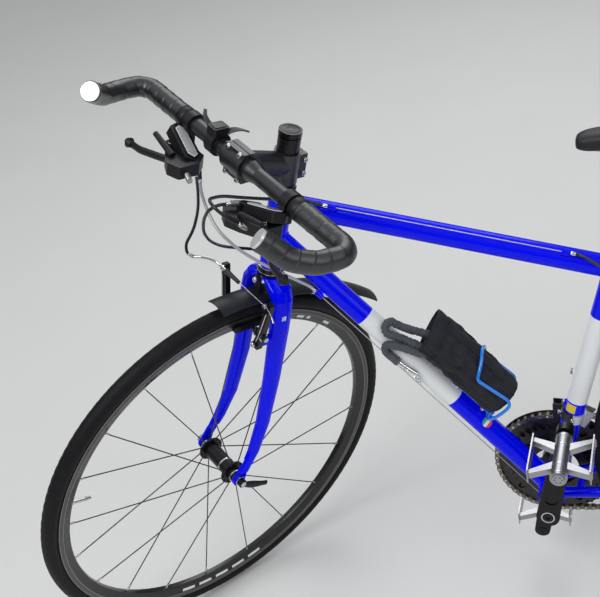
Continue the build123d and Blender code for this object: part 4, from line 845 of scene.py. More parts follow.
windows = Shape()
for side in (1, -1):
    for low, high, share_x, share_y, mark in ((0.05, 1.5, 1.0, 1.0, 1), (1.5, 1.9, 0.95, 0.88, 2),
                                              (1.9, 2.1, 0.9, 0.76, 0)):
        windows.loft([[deck_point(side, x * share_x, y * share_y, level) for x, y in window_outline]
                      for level in (low, high)], mark)
    for k in range(-3, 4):
        windows.loft([[deck_point(side, 7.5 * k + x, y, level) for x, y in tick_outline]
                      for level in (2.1, 2.22)], 1)
windows.piece("gear_window_faces", *ON_STEERING, [window_finish, black_plastic, label_white], "window",
              ("gear_windows",), smooth_angle=20)

# Control units: their bolts and the ribbed cable adjusters
trim = Shape()
for side in (1, -1):
    bolt(trim, (bar_reach + 38, side * 118, body_top + 0.2), Z_AXIS, 5.0, 2.6)
    bolt(trim, (bar_reach + 20, side * 120, bar_rise - 12), X_AXIS, 4.0, 6.0)
ribs = 9
for start, end in (((133, -60, 562), (140, -38, 561)), ((137, 101.5, 564), (147, 99.3, 570)),
                   ((133, 70, 585), (143, 65, 584))):
    stations = [Vector(start).lerp(Vector(end), i / (2 * ribs)) for i in range(2 * ribs + 1)]
    trim.tube(stations, [3.9 if i % 2 else 4.5 for i in range(len(stations))], 18, 1)
trim.piece("control_trim", *ON_STEERING, [steel, alloy], "bright_steel", smooth_angle=30)

# Saddle: padded cover over a shell, with piping along its edge
saddle_height, shell_z, saddle_nose = 622.0, 594.0, -80.0
# behind the nose, half width, crown above the saddle's height, underside above the shell's
saddle_table = (
    (0.0, 10.0, -16, 2), (3.0, 14.5, -12, 0), (10.0, 18.0, -9, -2), (22.0, 20.0, -6, -3), (45.0, 21.0, -4.5, -2.5),
    (70.0, 22.0, -3.5, -2), (92.0, 23.5, -2.2, -1), (115.0, 26.0, -1, 0), (130.0, 31.0, -0.5, 1), (145.0, 40.0, 0, 2),
    (162.0, 52.0, 1, 3), (180.0, 64.0, 2, 4), (198.0, 73.0, 3.5, 4.5), (215.0, 78.0, 5, 5), (232.0, 79.5, 7, 7),
    (245.0, 78.0, 8, 9), (255.0, 73.0, 8.4, 12), (262.0, 66.0, 8, 16), (267.0, 57.0, 6.8, 19), (270.0, 46.0, 5, 22),
)
saddle_sections = []
for behind, half, rise, lift in saddle_table:
    crown, under = saddle_height + rise, shell_z + lift
    saddle_sections.append((behind, half, crown, under, under + 0.35 * (crown - under)))
cover = Shape()
rings = []
for behind, half, crown, under, edge in saddle_sections:
    ring = []
    for angle in turns(40):
        c, s = math.cos(angle), math.sin(angle)
        y = half * math.copysign(abs(c) ** 0.72, c)
        if s >= 0:
            dip = 2.6 * math.exp(-(y / 7.0) ** 2) * min(1.0, max(0.0, (behind - 60) / 60.0))
            z = edge + (crown - edge) * abs(s) ** 0.62 - dip
        else:
            z = edge + (under - edge) * abs(s) ** 0.6
        ring.append(Vector((saddle_nose - behind, y, z)))
    rings.append(ring)
cover.loft(rings)
saddle = cover.piece("saddle_padding", *ON_FRAME, [saddle_finish], "saddle_cover", ("saddle",),
                     smooth_angle=180, subdivide=2)
piping = Shape()
for side in (1, -1):
    line = [(saddle_nose - behind, side * (half - 0.3), edge - 1.0)
            for behind, half, _, _, edge in saddle_sections[1:-1]]
    piping.tube(smooth(line, 4), 1.0, 8)
piping.piece("saddle_piping", *ON_FRAME, [black_plastic], "saddle_cover", smooth_angle=180)

# Chain: linked plates, rollers and pins round the drive
chain_pitch, chain_plane = 12.7, -54.0


def pitch_radius(teeth):
    """Radius at which a ring of so many teeth carries the chain's pins."""
    return chain_pitch / 2 / math.sin(math.pi / teeth)


upper_jockey, lower_jockey = (-chainstay_x + 16, bb_drop - 62), (-chainstay_x + 46, bb_drop - 128)
pulleys = ((0.0, 0.0, pitch_radius(48), 1), (-chainstay_x, bb_drop, pitch_radius(12), 1),
           (*upper_jockey, pitch_radius(11), -1), (*lower_jockey, pitch_radius(11), 1))


def chain_route():
    """Closed path of the chain's pins round the pulleys (x, z, radius, turn)."""
    route = []
    for i, (x, z, radius, turn) in enumerate(pulleys):
        ends = []
        for low, high in ((pulleys[i - 1], pulleys[i]), (pulleys[i], pulleys[(i + 1) % len(pulleys)])):
            dx, dz = high[0] - low[0], high[1] - low[1]
            lift = low[3] * low[2] - high[3] * high[2]
            heading = math.atan2(dz, dx) + math.asin(lift / math.hypot(dx, dz))
            ends.append(heading - turn * math.pi / 2)
        swing = (ends[1] - ends[0]) % (2 * math.pi) if turn == 1 else -((ends[0] - ends[1]) % (2 * math.pi))
        steps = max(6, int(abs(swing) / 0.035))
        for k in range(steps + 1):
            angle = ends[0] + swing * k / steps
            route.append(Vector((x, 0, z)) + ring_point(radius, angle, chain_plane))
    return route


def spaced(route, pitch):
    """Points at even steps along a closed path, an even number of them."""
    route = route + [route[0]]
    lengths = [(b - a).length for a, b in zip(route, route[1:])]
    count = 2 * round(sum(lengths) / pitch / 2)
    gap = sum(lengths) / count
    points = []
    run, i = 0.0, 0
    for k in range(count):
        while run + lengths[i] < k * gap:
            run += lengths[i]
            i += 1
        points.append(route[i].lerp(route[i + 1], (k * gap - run) / lengths[i]))
    return points


links = Shape()
pins = spaced(chain_route(), chain_pitch)
for k, pin in enumerate(pins):
    onward = pins[(k + 1) % len(pins)] - pin
    outline = []
    for centre, first in ((0.0, 70), (onward.length, -110)):
        for step in range(7):
            angle = math.radians(first + 220 * step / 6)
            outline.append((centre + 4.1 * math.cos(angle), 4.1 * math.sin(angle)))
        outline.append((onward.length / 2, -2.9 if centre == 0.0 else 2.9))
    inner, outer = (2.3, 3.2) if k % 2 else (3.3, 4.1)
    for low, high in ((inner, outer), (-outer, -inner)):
        links.plate(outline, onward, onward.cross(Y_AXIS), pin, low, high)
    links.rod(pin - Y_AXIS * 2.2, pin + Y_AXIS * 2.2, 3.8, 10)
    links.rod(pin - Y_AXIS * 4.5, pin + Y_AXIS * 4.5, 1.8, 8, 1)
links.piece("chain_links", *ON_FRAME, [worn_steel, steel], "bright_steel", ("chain",), smooth_angle=30)

# Crank bolts, chainring bolts, pedal caps and screws
crank_outer, crank_length, bolt_circle = 80.0, 170.0, 52.0
pedal_start = crank_outer + 8.0
drive = Shape()
for side in (1, -1):
    seat = crank_outer - (1.8 if side > 0 else 0.0)
    drive.collar(side * (seat - 0.3), side * (crank_outer + 0.9), 8.7, 10.6, 40, 1)
    bolt(drive, (0, side * seat, 0), Y_AXIS * side, 7.8, 2.8)
    bolt(drive, (side * crank_length, side * 66.05, 0), -Y_AXIS * side, 6.4, 1.2)
for angle in turns(5, math.pi / 5):
    bolt(drive, ring_point(bolt_circle, angle, chain_plane - 1.1), -Y_AXIS, 5.0, 1.8)
drive.piece("crank_bolts", AT_CRANK, "crankset", [black_metal, steel], "bright_steel", smooth_angle=32)
for side, pedal_name in ((1, "pedal_left"), (-1, "pedal_right")):
    caps = Shape()
    caps.along_y(side * (pedal_start + 91), side * (pedal_start + 93.7), 9.6, edge=0.5)
    for angle in turns(6):
        rib = ring_point(5.6, angle, side * (pedal_start + 93.6))
        caps.rod(rib, rib + Y_AXIS * side * 0.7, 1.5, 10)
    for ahead in (1, -1):
        for y in (14, 78):
            bolt(caps, (ahead * 44.0, side * (pedal_start + y), 0), X_AXIS * ahead, 2.8, 1.4, 1)
    for y in (3.0, 24.0, 68.0, 86.0):
        caps.lathe([(r, side * (pedal_start + y + step))
                    for r, step in ((11.9, 0), (12.5, 0.4), (12.5, 1.6), (11.9, 2.0))], 40, 1)
    caps.piece(f"{pedal_name}_caps", at_pedal(side), pedal_name, [cap_grey, steel], "alloy", smooth_angle=32)


def quick_release(name, at, body, half, lever):
    """Quick-release axle: lock nuts, lever and cap on the left, and a ribbed nut on the right."""
    shape = Shape()
    face = half + 5.0
    shape.along_y(-face - 9, face + 9, 4.9, 24, 1)
    for low in (half - 3.8, -half + 0.2):
        shape.along_y(low, low + 3.6, 8.5, 6, 1)
        shape.collar(low + 1.3, low + 2.3, 8.0, 9.2, 32, 1)
    for low, high, radius, corners, mark, edge in ((0, 3, 8.5, 32, 1, 0.5), (3, 12, 7.6, 32, 0, 0.8),
                                                   (11.6, 12.8, 5.2, 24, 1, 0.4)):
        shape.along_y(face + low, face + high, radius, corners, mark, edge=edge)
    blade = smooth(lever)
    flat = (blade[-1] - blade[0]).normalized().cross(Y_AXIS).normalized()
    rings = []
    for i, (point, _, _) in enumerate(carry(blade)):
        share = i / (len(blade) - 1)
        wide = 4.6 + 2.4 * math.sin(math.pi * min(1.0, share * 1.1)) ** 2
        rings.append(oval(point, flat, Y_AXIS, wide, 3.6 - 1.2 * share, 16, 2.6))
    shape.loft(rings)
    shape.along_y(-face, -face - 3, 8.0, 32, 1, edge=0.4)
    for angle in turns(14):
        rib = ring_point(6.4, angle, -face - 3)
        shape.rod(rib, rib - Y_AXIS * 6, 1.3, 8, 1)
    shape.along_y(-face - 3, -face - 8, 6.6, 32, 1)
    shape.along_y(-face - 8, -face - 10, 6.6, 32, 1, far_radius=4.6)
    shape.piece(f"{name}_quick_release", at, body, [black_metal, steel], "black_metal", (f"{name}_axle",), 32)


quick_release("front", AT_FRONT, "steering", 50.0, [(0, 62, -3), (-14, 65, -8), (-30, 68, -12), (-48, 69.5, -16.5)])
quick_release("rear", AT_REAR, "frame", 67.5, [(0, 79.5, 3), (-12, 82, 10), (-26, 85, 20), (-42, 87, 31)])

# Hub rings and spoke heads
head_circle = 19.0
for (name, at, body, spokes), hub_ends, flanges, lean in zip(
        wheels, ((42.0, -44.0), (58.0,)), ((33.0, -33.0), (33.0, -18.0)), (0.0, math.radians(60))):
    fittings = Shape()
    for y in hub_ends:
        fittings.collar(y, y + 2.0, 9.0, 12.6 if name == "front" else 12.2)
    if name == "front":     # a thin bright ring round the middle of its shell
        fittings.lathe([(13.5, 10.0), (14.7, 10.6), (14.7, 13.4), (13.5, 14.0)], 48)
    for i, angle in enumerate(turns(spokes)):
        side = 1 if i % 2 == 0 else -1
        trailing = lean > 0 and i // 2 % 2 == 1
        out = ring_point(head_circle, angle + lean * (-1 if trailing else 1), flanges[i % 2])
        outer = -side if trailing else side
        fittings.rod(out - Y_AXIS * outer * 2.9, out + Y_AXIS * outer * 3.2, 1.5, 10, 1)
    fittings.piece(f"{name}_hub_fittings", at, body, [steel, black_metal], "black_metal", smooth_angle=40)


def tube_patch(shape, axis_point, way, out, radius, low, high, half_angle, mark=0, round_in=None):
    """Thin label on a tube, from low to high along its axis and to both sides of a direction out of it."""
    aside = way.cross(out)
    steps = 14
    rings = []
    for i in range(steps + 1):
        run = low + (high - low) * i / steps
        span = half_angle
        if round_in:
            middle, reach = round_in
            span = math.sqrt(max(0.0, reach ** 2 - (run - middle) ** 2)) / radius
        ring = []
        for lift in (0.28, 0.02):
            angles = [-span + 2 * span * k / 8 for k in range(9)]
            for angle in angles if lift > 0.1 else angles[::-1]:
                ring.append(axis_point(run) + (out * math.cos(angle) + aside * math.sin(angle)) * (radius + lift))
        rings.append(ring)
    shape.loft(rings, mark)


# Blank labels: the yellow patch, the three-colour badge and pale blocks on the blades
labels = Shape()
patch_out = (seat_fore * 0.45 + Y_AXIS * 0.9).normalized()
tube_patch(labels, seat_point, seat_way, patch_out, seat_radius, 161, 176, 0.5)
badge_out = (tube_out * 0.72 + Y_AXIS * 0.7).normalized()
badge_middle, badge_reach = 161.0, 8.2
badge_radius = down_foot_radius - 1.5 * (badge_middle - 12) / 480
for low, high, mark in ((153.2, 158.3, 3), (158.3, 163.7, 1), (163.7, 168.8, 2)):
    tube_patch(labels, bottle_point, tube_up, badge_out, badge_radius, low, high, 0.4, mark,
               round_in=(badge_middle, badge_reach))
labels.piece("frame_labels", *ON_FRAME, [yellow_label, label_white, badge_green, badge_red], "frame_paint",
             smooth_angle=40)
marks = Shape()
# two stripes on the left blade, whose section is an ellipse
for x_low, x_high in ((0.0, 3.4), (4.6, 6.6)):
    rings = []
    for z in (325.0, 329.0, 333.0):
        lean = (338.0 - z) / 38.0
        centre, depth, width = 40.0 + 1.5 * lean, 18.5 - 0.5 * lean, 13.5 - 0.5 * lean
        ring = []
        for lift in (0.25, 0.02):
            spots = [x_low + (x_high - x_low) * k / 4 for k in range(5)]
            for x in spots if lift > 0.1 else spots[::-1]:
                ring.append(Vector((x, centre + width * math.sqrt(1 - (x / depth) ** 2) + lift, z)))
        rings.append(ring)
    marks.loft(rings)
marks.piece("blade_marks", *ON_STEERING, [label_white], "frame_paint", smooth_angle=40)


def rim_blocks(name, at, body, spans):
    """Blank pale blocks and two fine lines on both sides of a rim."""
    shape = Shape()
    for side in (1, -1):
        for radius in (bead_radius - 1.6, bead_radius - 8.6):
            shape.collar(side * 10.9, side * 11.08, radius, radius + 0.5, 180, 1)
        for start, stop in spans:
            rings = []
            steps = max(2, int((stop - start) / 1.5))
            for i in range(steps + 1):
                angle = math.radians(start + (stop - start) * i / steps)
                rings.append([ring_point(bead_radius - depth, angle, side * y)
                              for depth, y in ((11.6, 10.3), (16.8, 9.1), (16.8, 8.7), (11.6, 9.9))])
            shape.loft(rings)
    shape.piece(f"{name}_rim_marks", at, body, [label_white, alloy], "rim_black", smooth_angle=40)


rim_spans = [(111.5, 114.5), (116.0, 117.5), (124.5, 127.5)] + [(248 + 7 * k, 253 + 7 * k) for k in range(5)]
for name, at, body, _ in wheels:
    rim_blocks(name, at, body, rim_spans)

# Mudguard bolt and headset rings
guard_bolt = Shape()
bolt(guard_bolt, (26.9, 0, 377), X_AXIS, 4.6, 3.0)
guard_bolt.piece("mudguard_bolt", *ON_STEERING, [steel], "bright_steel", smooth_angle=32)
rings_shape = Shape()
reach = 20.95
for s in (399.4, 530.0, 539.6, 390.4):
    rings_shape.loft([circle(head_point(s + step), steer_fore, Y_AXIS, r, 48) for step, r in
                      ((-0.6, reach - 0.5), (-0.35, reach), (0.35, reach), (0.6, reach - 0.5))])
rings_shape.piece("headset_rings", *ON_FRAME, [steel], "black_metal", smooth_angle=40)


def strip(shape, path, across, widths, half_thick, mark=0):
    """Flat band along a path, with rounded edges and a half width for each point."""
    last = len(path) - 1
    rings = []
    for i, point in enumerate(path):
        ahead = (path[min(i + 1, last)] - path[max(i - 1, 0)]).normalized()
        side = (Vector(across) - ahead * ahead.dot(Vector(across))).normalized()
        rings.append(oval(point, side, ahead.cross(side), widths[i], half_thick, 16, 5.0))
    shape.loft(rings, mark)


# Accessory bracket: band, block, fin and strap tail
bracket = Shape()
bracket.lathe([(12.9, -67), (17.6, -67), (18.3, -66.4), (18.3, -49.6), (17.6, -49), (12.9, -49)], 48, 0,
              middle=(bar_reach, 0, bar_rise))
block = [(-13, -9), (-11, -11), (11, -11), (13, -9), (13, 9), (11, 11), (-11, 11), (-13, 9)]
block_middle = bar_reach + 1, -58, bar_rise + 20.5
bracket.plate(block, X_AXIS, Y_AXIS, block_middle, -6, 7)
bracket.plate([(x * 0.72, y * 0.66) for x, y in block], X_AXIS, Y_AXIS, block_middle, 7, 8.2, 2)
# the fin and the strap's tail: points (ahead of the bar, y, above the bar), way across, thickness and widths
for points, across, thick, wide, narrowing in (
        (((4, -66, 20), (9, -72, 27), (12, -77, 36), (9, -82, 43)), (0.75, 0.55, 0), 1.8, 6.2, 3.0),
        (((-8, -52, 17), (-16, -47, 22), (-25, -41, 24), (-37, -35, 21)), (0.3, -0.9, 0), 1.2, 5.0, 2.6)):
    path = smooth([(bar_reach + x, y, bar_rise + z) for x, y, z in points], 6)
    widths = [wide - narrowing * (i / (len(path) - 1)) ** 2 for i in range(len(path))]
    strip(bracket, path, across, widths, thick, 2)
bolt(bracket, (bar_reach - 13, -58, bar_rise + 13), (-0.6, 0, 0.8), 3.4, 3.0, 1)
bracket.piece("bracket_and_strap", *ON_STEERING, [black_plastic, steel, strap_grey], "black_metal",
              ("accessory_bracket",), smooth_angle=35)

# Bottle cage: bent wire and back plate
bottle_off, pouch_radius, pouch_low, pouch_mouth = 60.0, 36.0, 175.0, 328.0
cage_wire = 2.6
wire_off = pouch_radius + cage_wire + 0.5
plate_out = bottle_off - pouch_radius - 0.05


def hoop_point(run, degrees):
    """Point of the cage's wire round the bottle's axis."""
    angle = math.radians(degrees)
    return bottle_point(run, bottle_off + wire_off * math.cos(angle), wire_off * math.sin(angle))


left_half = [bottle_point(172, plate_out - 1.5, 6), bottle_point(172, plate_out + 4, 30), hoop_point(172, 100)]
left_half += [hoop_point(*spot) for spot in ((172, 54), (240, 69), (247, 52), (253, 35), (259, 17))]
right_half = [Vector((point.x, -point.y, point.z)) for point in left_half]
hoop = left_half + [hoop_point(262, 0)] + right_half[::-1]
cage = Shape()
cage.tube(cord_path(hoop, 3.0), cage_wire, 20)
slot_outline = []
for sign, first in ((1, -90), (-1, 90)):
    for k in range(11):
        angle = math.radians(first + 180 * k / 10)
        slot_outline.append((37 * sign + 9 * math.cos(angle), 9 * math.sin(angle)))
cage.plate(slot_outline, tube_up, Y_AXIS, bottle_point(208, plate_out), 0, 3.0)
for run in (180.0, 236.0):
    cage.rod(bottle_point(run, 15.5), bottle_point(run, plate_out - 2.8), 5.0, 24, 1)
    bolt(cage, bottle_point(run, plate_out + 0.01), tube_out, 4.0, -1.2, 1)
cage.piece("cage_wire_form", *ON_FRAME, [cage_blue, steel], "cage_blue", ("bottle_cage",), smooth_angle=40)

# Pouch: a cloth tube with a floor, an open leaning mouth and a hem, puffed by a cloth simulation
mouth_slope = math.tan(math.radians(17))


def pouch_spot(share, degrees, radius, below=0.0):
    """Point of the pouch: share of the way from its floor to its mouth, round its axis, out from it."""
    angle = math.radians(degrees)
    out = bottle_off + radius * math.cos(angle)
    top = pouch_mouth - 1.0 - below + pouch_radius * (1 + math.cos(angle)) * mouth_slope
    run = pouch_low + 0.6 + (top - pouch_low - 0.6) * share
    return bottle_point(run, out, radius * math.sin(angle))


pouch_shape = Shape()
# the pouch's section as (share of its height, radius): floor, wall, hem and the lining down to its floor
wall = [(0.0, 8.0), (0.0, 20.0), (0.003, 26.0), (0.015, 30.5), (0.04, 33.2), (0.08, 34.2)]
wall += [(0.08 + 0.92 * k / 26, 34.3) for k in range(1, 26)]
wall += [(0.995, 34.2), (1.0, 33.0), (1.0, 31.0), (0.985, 29.6)]
wall += [(0.985 - 0.26 * k / 8, 29.4 - 0.25 * k) for k in range(1, 9)]
wall += [(0.715, 22.0), (0.71, 8.0)]
pouch_shape.loft([[pouch_spot(share, 5 * j, radius) for j in range(72)] for share, radius in wall])
pouch = pouch_shape.piece("pouch_fabric", *ON_FRAME, [pouch_cloth], "pouch_cloth", ("cage_pouch",),
                          smooth_angle=180)


def worked_mesh(made):
    """Copy of the mesh that an object's modifiers give."""
    return bpy.data.meshes.new_from_object(made.evaluated_get(bpy.context.evaluated_depsgraph_get()))


def settled(made, voxel, pressure, cap, growth):
    """Remeshes a closed piece and lets it puff up as cloth, no point going further than the cap."""
    remesh = made.modifiers.new("even_mesh", "REMESH")
    remesh.mode = "VOXEL"
    remesh.voxel_size = voxel * MM
    keep_finish = made.data.materials[0]
    made.data = worked_mesh(made)
    made.modifiers.clear()
    made.data.materials.clear()
    made.data.materials.append(keep_finish)
    made.data.polygons.foreach_set("material_index", [0] * len(made.data.polygons))
    cloth = made.modifiers.new("puff", "CLOTH")
    cloth.settings.use_pressure = True
    cloth.settings.uniform_pressure_force = pressure
    cloth.settings.effector_weights.gravity = 0
    cloth.settings.shrink_min = -growth
    cloth.settings.tension_stiffness = cloth.settings.compression_stiffness = 8
    cloth.settings.bending_stiffness = 0.3
    cloth.collision_settings.use_collision = False
    for step in range(1, 21):
        bpy.context.scene.frame_set(step)
    moved = worked_mesh(made)
    made.modifiers.clear()
    for vertex, puffed in zip(made.data.vertices, moved.vertices):
        move = puffed.co - vertex.co
        vertex.co += move * min(1.0, cap * MM / max(move.length, 1e-9))
    bpy.context.scene.frame_set(1)


settled(pouch, 3.4, 3.0, 2.2, 0.05)
into_frame = AT_FRAME.inverted()


def creased(made, depth):
    """Folds and creases of the pouch's slack cloth, as shallow moves along each point's normal."""
    made.data.update()
    normals = [vertex.normal.copy() for vertex in made.data.vertices]
    for vertex, normal in zip(made.data.vertices, normals):
        local = into_frame @ vertex.co - bottle_point(0, bottle_off)
        run, out, aside = local.dot(tube_up), local.dot(tube_out), local.y
        angle = math.atan2(aside, out)
        slant = Vector((run * 0.016 + angle * 0.5, angle * 1.9 - run * 0.011, 3.7))
        fold = 1.0 - abs(noise.noise(slant * 1.7)) * 3.2
        crease = noise.noise(Vector((run * 0.05 - angle * 1.3, angle * 3.4 + run * 0.03, 1.1)))
        fine = noise.noise(Vector((run * 0.14, angle * 5.0, 8.4)))
        near_floor = min(1.0, max(0.15, (run - pouch_low) / 30.0))
        near_mouth = min(1.0, max(0.35, (pouch_mouth + 20 - run) / 40.0))
        rise = min(0.3, 0.6 * fold - 0.55 + 0.8 * crease + 0.22 * fine)
        vertex.co += normal * MM * depth * near_floor * near_mouth * rise


creased(pouch, 3.8)
refine(pouch, 1)
cloth_tree = BVHTree.FromPolygons([into_frame @ vertex.co for vertex in pouch.data.vertices],
                                  [tuple(polygon.vertices) for polygon in pouch.data.polygons])


def on_cloth(point, lift):
    """Nearest place on the pouch's outer cloth, lifted off it."""
    place_on = cloth_tree.find_nearest(point)[0]
    centre = bottle_point(0, bottle_off)
    run = (place_on - centre).dot(tube_up)
    out = (place_on - centre - tube_up * run).normalized()
    return place_on + out * lift


trimmings = Shape()
hem = [on_cloth(pouch_spot(1.0, 360 * j / 96, 35.5, 25.0), 0.25) for j in range(96)]
trimmings.tube(hem + hem[:1], 0.8, 8)
binding = [pouch_spot(1.0, 360 * j / 96, 32.6, -0.2) for j in range(96)]
trimmings.tube(binding + binding[:1], 1.5, 10)
for degrees in (118.0, -118.0):
    seam = [on_cloth(pouch_spot(0.05 + 0.93 * k / 48, degrees, 35.5), 0.2) for k in range(49)]
    trimmings.tube(seam, 0.5, 8)
for degrees in (26.0, -26.0):
    edge = [on_cloth(pouch_spot(0.16 + 0.74 * k / 48, degrees + 3 * math.sin(k * 0.4), 36), 0.6) for k in range(49)]
    trimmings.tube(edge, 0.9, 8)
flap = []
for k in range(31):
    spots = [pouch_spot(0.18 + 0.7 * k / 30, -26 + 52 * j / 12, 36) for j in range(13)]
    top = [on_cloth(spot, 0.5 + 0.9 * math.sin(math.pi * j / 12)) for j, spot in enumerate(spots)]
    flap.append(top + [on_cloth(spot, -0.3) for spot in spots[::-1]])
trimmings.loft(flap)
trimmings.piece("pouch_trimmings", *ON_FRAME, [pouch_cloth], "pouch_cloth", smooth_angle=60)

# Lock: two sleeved loops from the pouch, with their chrome barrel, links and tail
lock_routes = (
    ("upper", ((334, 34, 14), (362, 22, 13), (386, 14, 21), (394, 27, 6), (367, 30, -1), (341, 46, -2))),
    ("lower", ((324, 30, 20), (358, 14, 24), (371, 3, 25), (361, -9, 23), (334, -7, 24))),
)
for number, (name, spots) in enumerate(lock_routes):
    loop = Shape()
    path = cord_path([bottle_point(*spot) for spot in spots], 0.9, 12)
    if name == "upper":
        inward = (path[0] - path[6]).normalized()
        outward = (path[-1] - path[-7]).normalized()
        path = [path[0] + inward * step for step in (14, 10, 6, 3)] + path
        path += [path[-1] + outward * step for step in (3, 6, 10, 14, 18)]
    else:
        path = [path[0].lerp(bottle_point(311, 41, 15), share) for share in (1.0, 0.8, 0.6, 0.4, 0.2)] + path
    rings = []
    for i, (point, across, up) in enumerate(carry(path)):
        ring = []
        for angle in turns(24):
            pleat = noise.noise(Vector((i * 0.16, 2.2 * math.cos(angle), 2.2 * math.sin(angle) + 7 * number)))
            gather = noise.noise(Vector((i * 0.42, math.cos(angle), math.sin(angle) + 3 * number)))
            reach = 6.3 + 1.3 * pleat + 0.8 * gather + 0.35 * math.sin(i * 0.9 + 2 * math.sin(angle))
            ring.append(point + (across * math.cos(angle) + up * math.sin(angle)) * min(7.0, reach))
        rings.append(ring)
    loop.loft(rings)
    sleeve_piece = loop.piece(f"lock_sleeve_{name}", *ON_FRAME, [lock_cloth], "lock_sleeve", smooth_angle=180)
barrel = Shape()
barrel_spots = [(337, -7, 24), (328, -5.6, 24), (322, -4.6, 24), (309, -2.4, 24), (300, 0, 24)]
for start, end, radius in zip(barrel_spots, barrel_spots[1:], (5.4, 4.4, 5.0, 4.5)):
    barrel.rod(bottle_point(*start), bottle_point(*end), radius, 28, 0, edge=0.6)
barrel.rod(bottle_point(316, -3.5, 28), bottle_point(316, -3.5, 30.4), 2.6, 20, 0, edge=0.4)
for run, out, aside, lean in ((303, -3.6, 23, 0.2), (296, -6.6, 22.2, 1.4), (289.5, -9.4, 21.2, 0.4)):
    tilt = Y_AXIS * math.sin(lean) + tube_out * math.cos(lean)
    link = [bottle_point(run, out, aside) + tube_up * 4.6 * math.cos(angle) + tilt * 2.5 * math.sin(angle)
            for angle in turns(24)]
    barrel.loft([circle(p, side, up, 0.95, 8) for p, side, up in carry(link)], closed=True)
barrel.rod(bottle_point(286, -11, 20.4), bottle_point(279, -14, 19.4), 1.6, 14, 0, edge=0.3)
barrel.piece("lock_barrel", *ON_FRAME, [chrome], "bright_steel", ("lock_loops",), smooth_angle=40)

# Bare wires, and the rear brake's housing, noodle, boot and hardware
wire_low = -24.85
wire_radius = 0.75
bare = Shape()
for side in (1, -1):
    wire_route = [bottle_point(490.9, -14, side * stop_aside), bottle_point(80, -22, side * 10),
                  Vector((14, side * 7, wire_low)), Vector((-8, side * 7, wire_low))]
    bare.tube(dense(filleted(wire_route, [60, 6], 10), 25), wire_radius, 10, 2)
    stop_foot = bottle_point(503, -14, side * stop_aside)
    bare.rod(stop_foot - tube_up * 0.2, stop_foot + tube_up * 0.9, 4.8, 28, 3, edge=0.2)
bare.tube([top_stop + top_wire_way * 12, top_stop_rear - top_wire_way * 12], wire_radius, 10, 2)
stay_low = rear_hub + Vector((12, 70, 30))
stay_high = Vector((seat_point(425).x - 3, 14, seat_point(425).z))
stay_way = (stay_high - stay_low).normalized()
stay_up = Vector((stay_way.x, 0, stay_way.z)).normalized()
stay_back = Vector((-stay_up.z, 0, stay_up.x))
boss_point = stay_low + stay_way * 258      # where the brake's bosses stand on the stays
boss_middle = Vector((boss_point.x, 0, boss_point.z))
rear_pivot = boss_point.y
arm_back, arm_thick = 13.0, 9.0
wire_back = arm_back + arm_thick + 3.55
over = wire_back + 2.3
pull_run = 84      # height of the noodle and the wire above the bosses


def stay_point(run, back, aside):
    """Point by the rear brake: up the stays from its bosses, behind them and aside."""
    return boss_middle + stay_up * run + stay_back * back + Y_AXIS * aside


def rear_arm_point(run, out, aside):
    """The same, counted from the back of the brake's arms."""
    return stay_point(run, arm_back + arm_thick + out, aside)


housing(bare, [top_stop_rear, top_stop_rear + top_wire_way * 14, Vector((-104, 34, 426)), Vector((-140, 58, 411)),
               stay_point(128, over, 74), stay_point(112.5, over, 74)])
brake_pull(bare, [stay_point(112, over, 74), stay_point(98, over, 74), stay_point(88, over, 68),
                  stay_point(pull_run, over, 56), stay_point(pull_run, over, 42)],
           stay_point(pull_run, over, 43.5), stay_point(pull_run, over, 9.5),
           [stay_point(pull_run, over, 10), stay_point(pull_run, wire_back, -rear_pivot - 15),
            stay_point(83, wire_back, -rear_pivot - 22), stay_point(79, wire_back + 1, -rear_pivot - 30)])
bare.piece("frame_wires", *ON_FRAME, [sleeve, steel, wire_steel, paint], "wire", ("frame_cables",),
           smooth_angle=60)
pad_back, pad_from_hub = arm_back + arm_thick / 2, 306.0
boss_from_hub = boss_middle - rear_hub
pad_up = math.sqrt(pad_from_hub ** 2 - (boss_from_hub.dot(stay_back) + pad_back) ** 2) - boss_from_hub.dot(stay_up)
brake_fittings("rear", *ON_FRAME, rear_arm_point, stay_back, rear_pivot, 7, (pull_run, 2.4),
               stay_point(pad_up, pad_back, 0))

# Derailleur pivots, jockey bolts and limit screws, and the saddle clamp's bolts
shift_bits = Shape()
body_outer = -90.45
for x, z in ((-chainstay_x + 6, bb_drop - 26), upper_jockey):
    bolt(shift_bits, (x, body_outer, z), -Y_AXIS, 5.2, 2.4)
for x, z in (upper_jockey, lower_jockey):
    bolt(shift_bits, (x, chain_plane + 7, z), Y_AXIS, 3.4, 1.6)
    shift_bits.collar(chain_plane + 1.2, chain_plane + 1.9, 3.9, 9.6, 32, 1, middle=(x, 0, z))
bolt(shift_bits, (lower_jockey[0], chain_plane - 7, lower_jockey[1]), -Y_AXIS, 3.4, 1.6)
screws = seat_point(150)
shift_bits.rod(screws + seat_fore * 18 + Y_AXIS * 5, screws + seat_fore * 24 + Y_AXIS * 5, 3.6, 20, 0, edge=0.4)
bolt(shift_bits, screws + Y_AXIS * 18.4, Y_AXIS, 3.4, 2.6)
for x in (-207, -185):
    bolt(shift_bits, (x, 0, 569.4), -Z_AXIS, 3.6, 3.0)
    shift_bits.rod((x, 0, 586.4), (x, 0, 588.2), 5.2, 6)
shift_bits.piece("shifting_fasteners", *ON_FRAME, [steel, black_plastic], "bright_steel", smooth_angle=32)

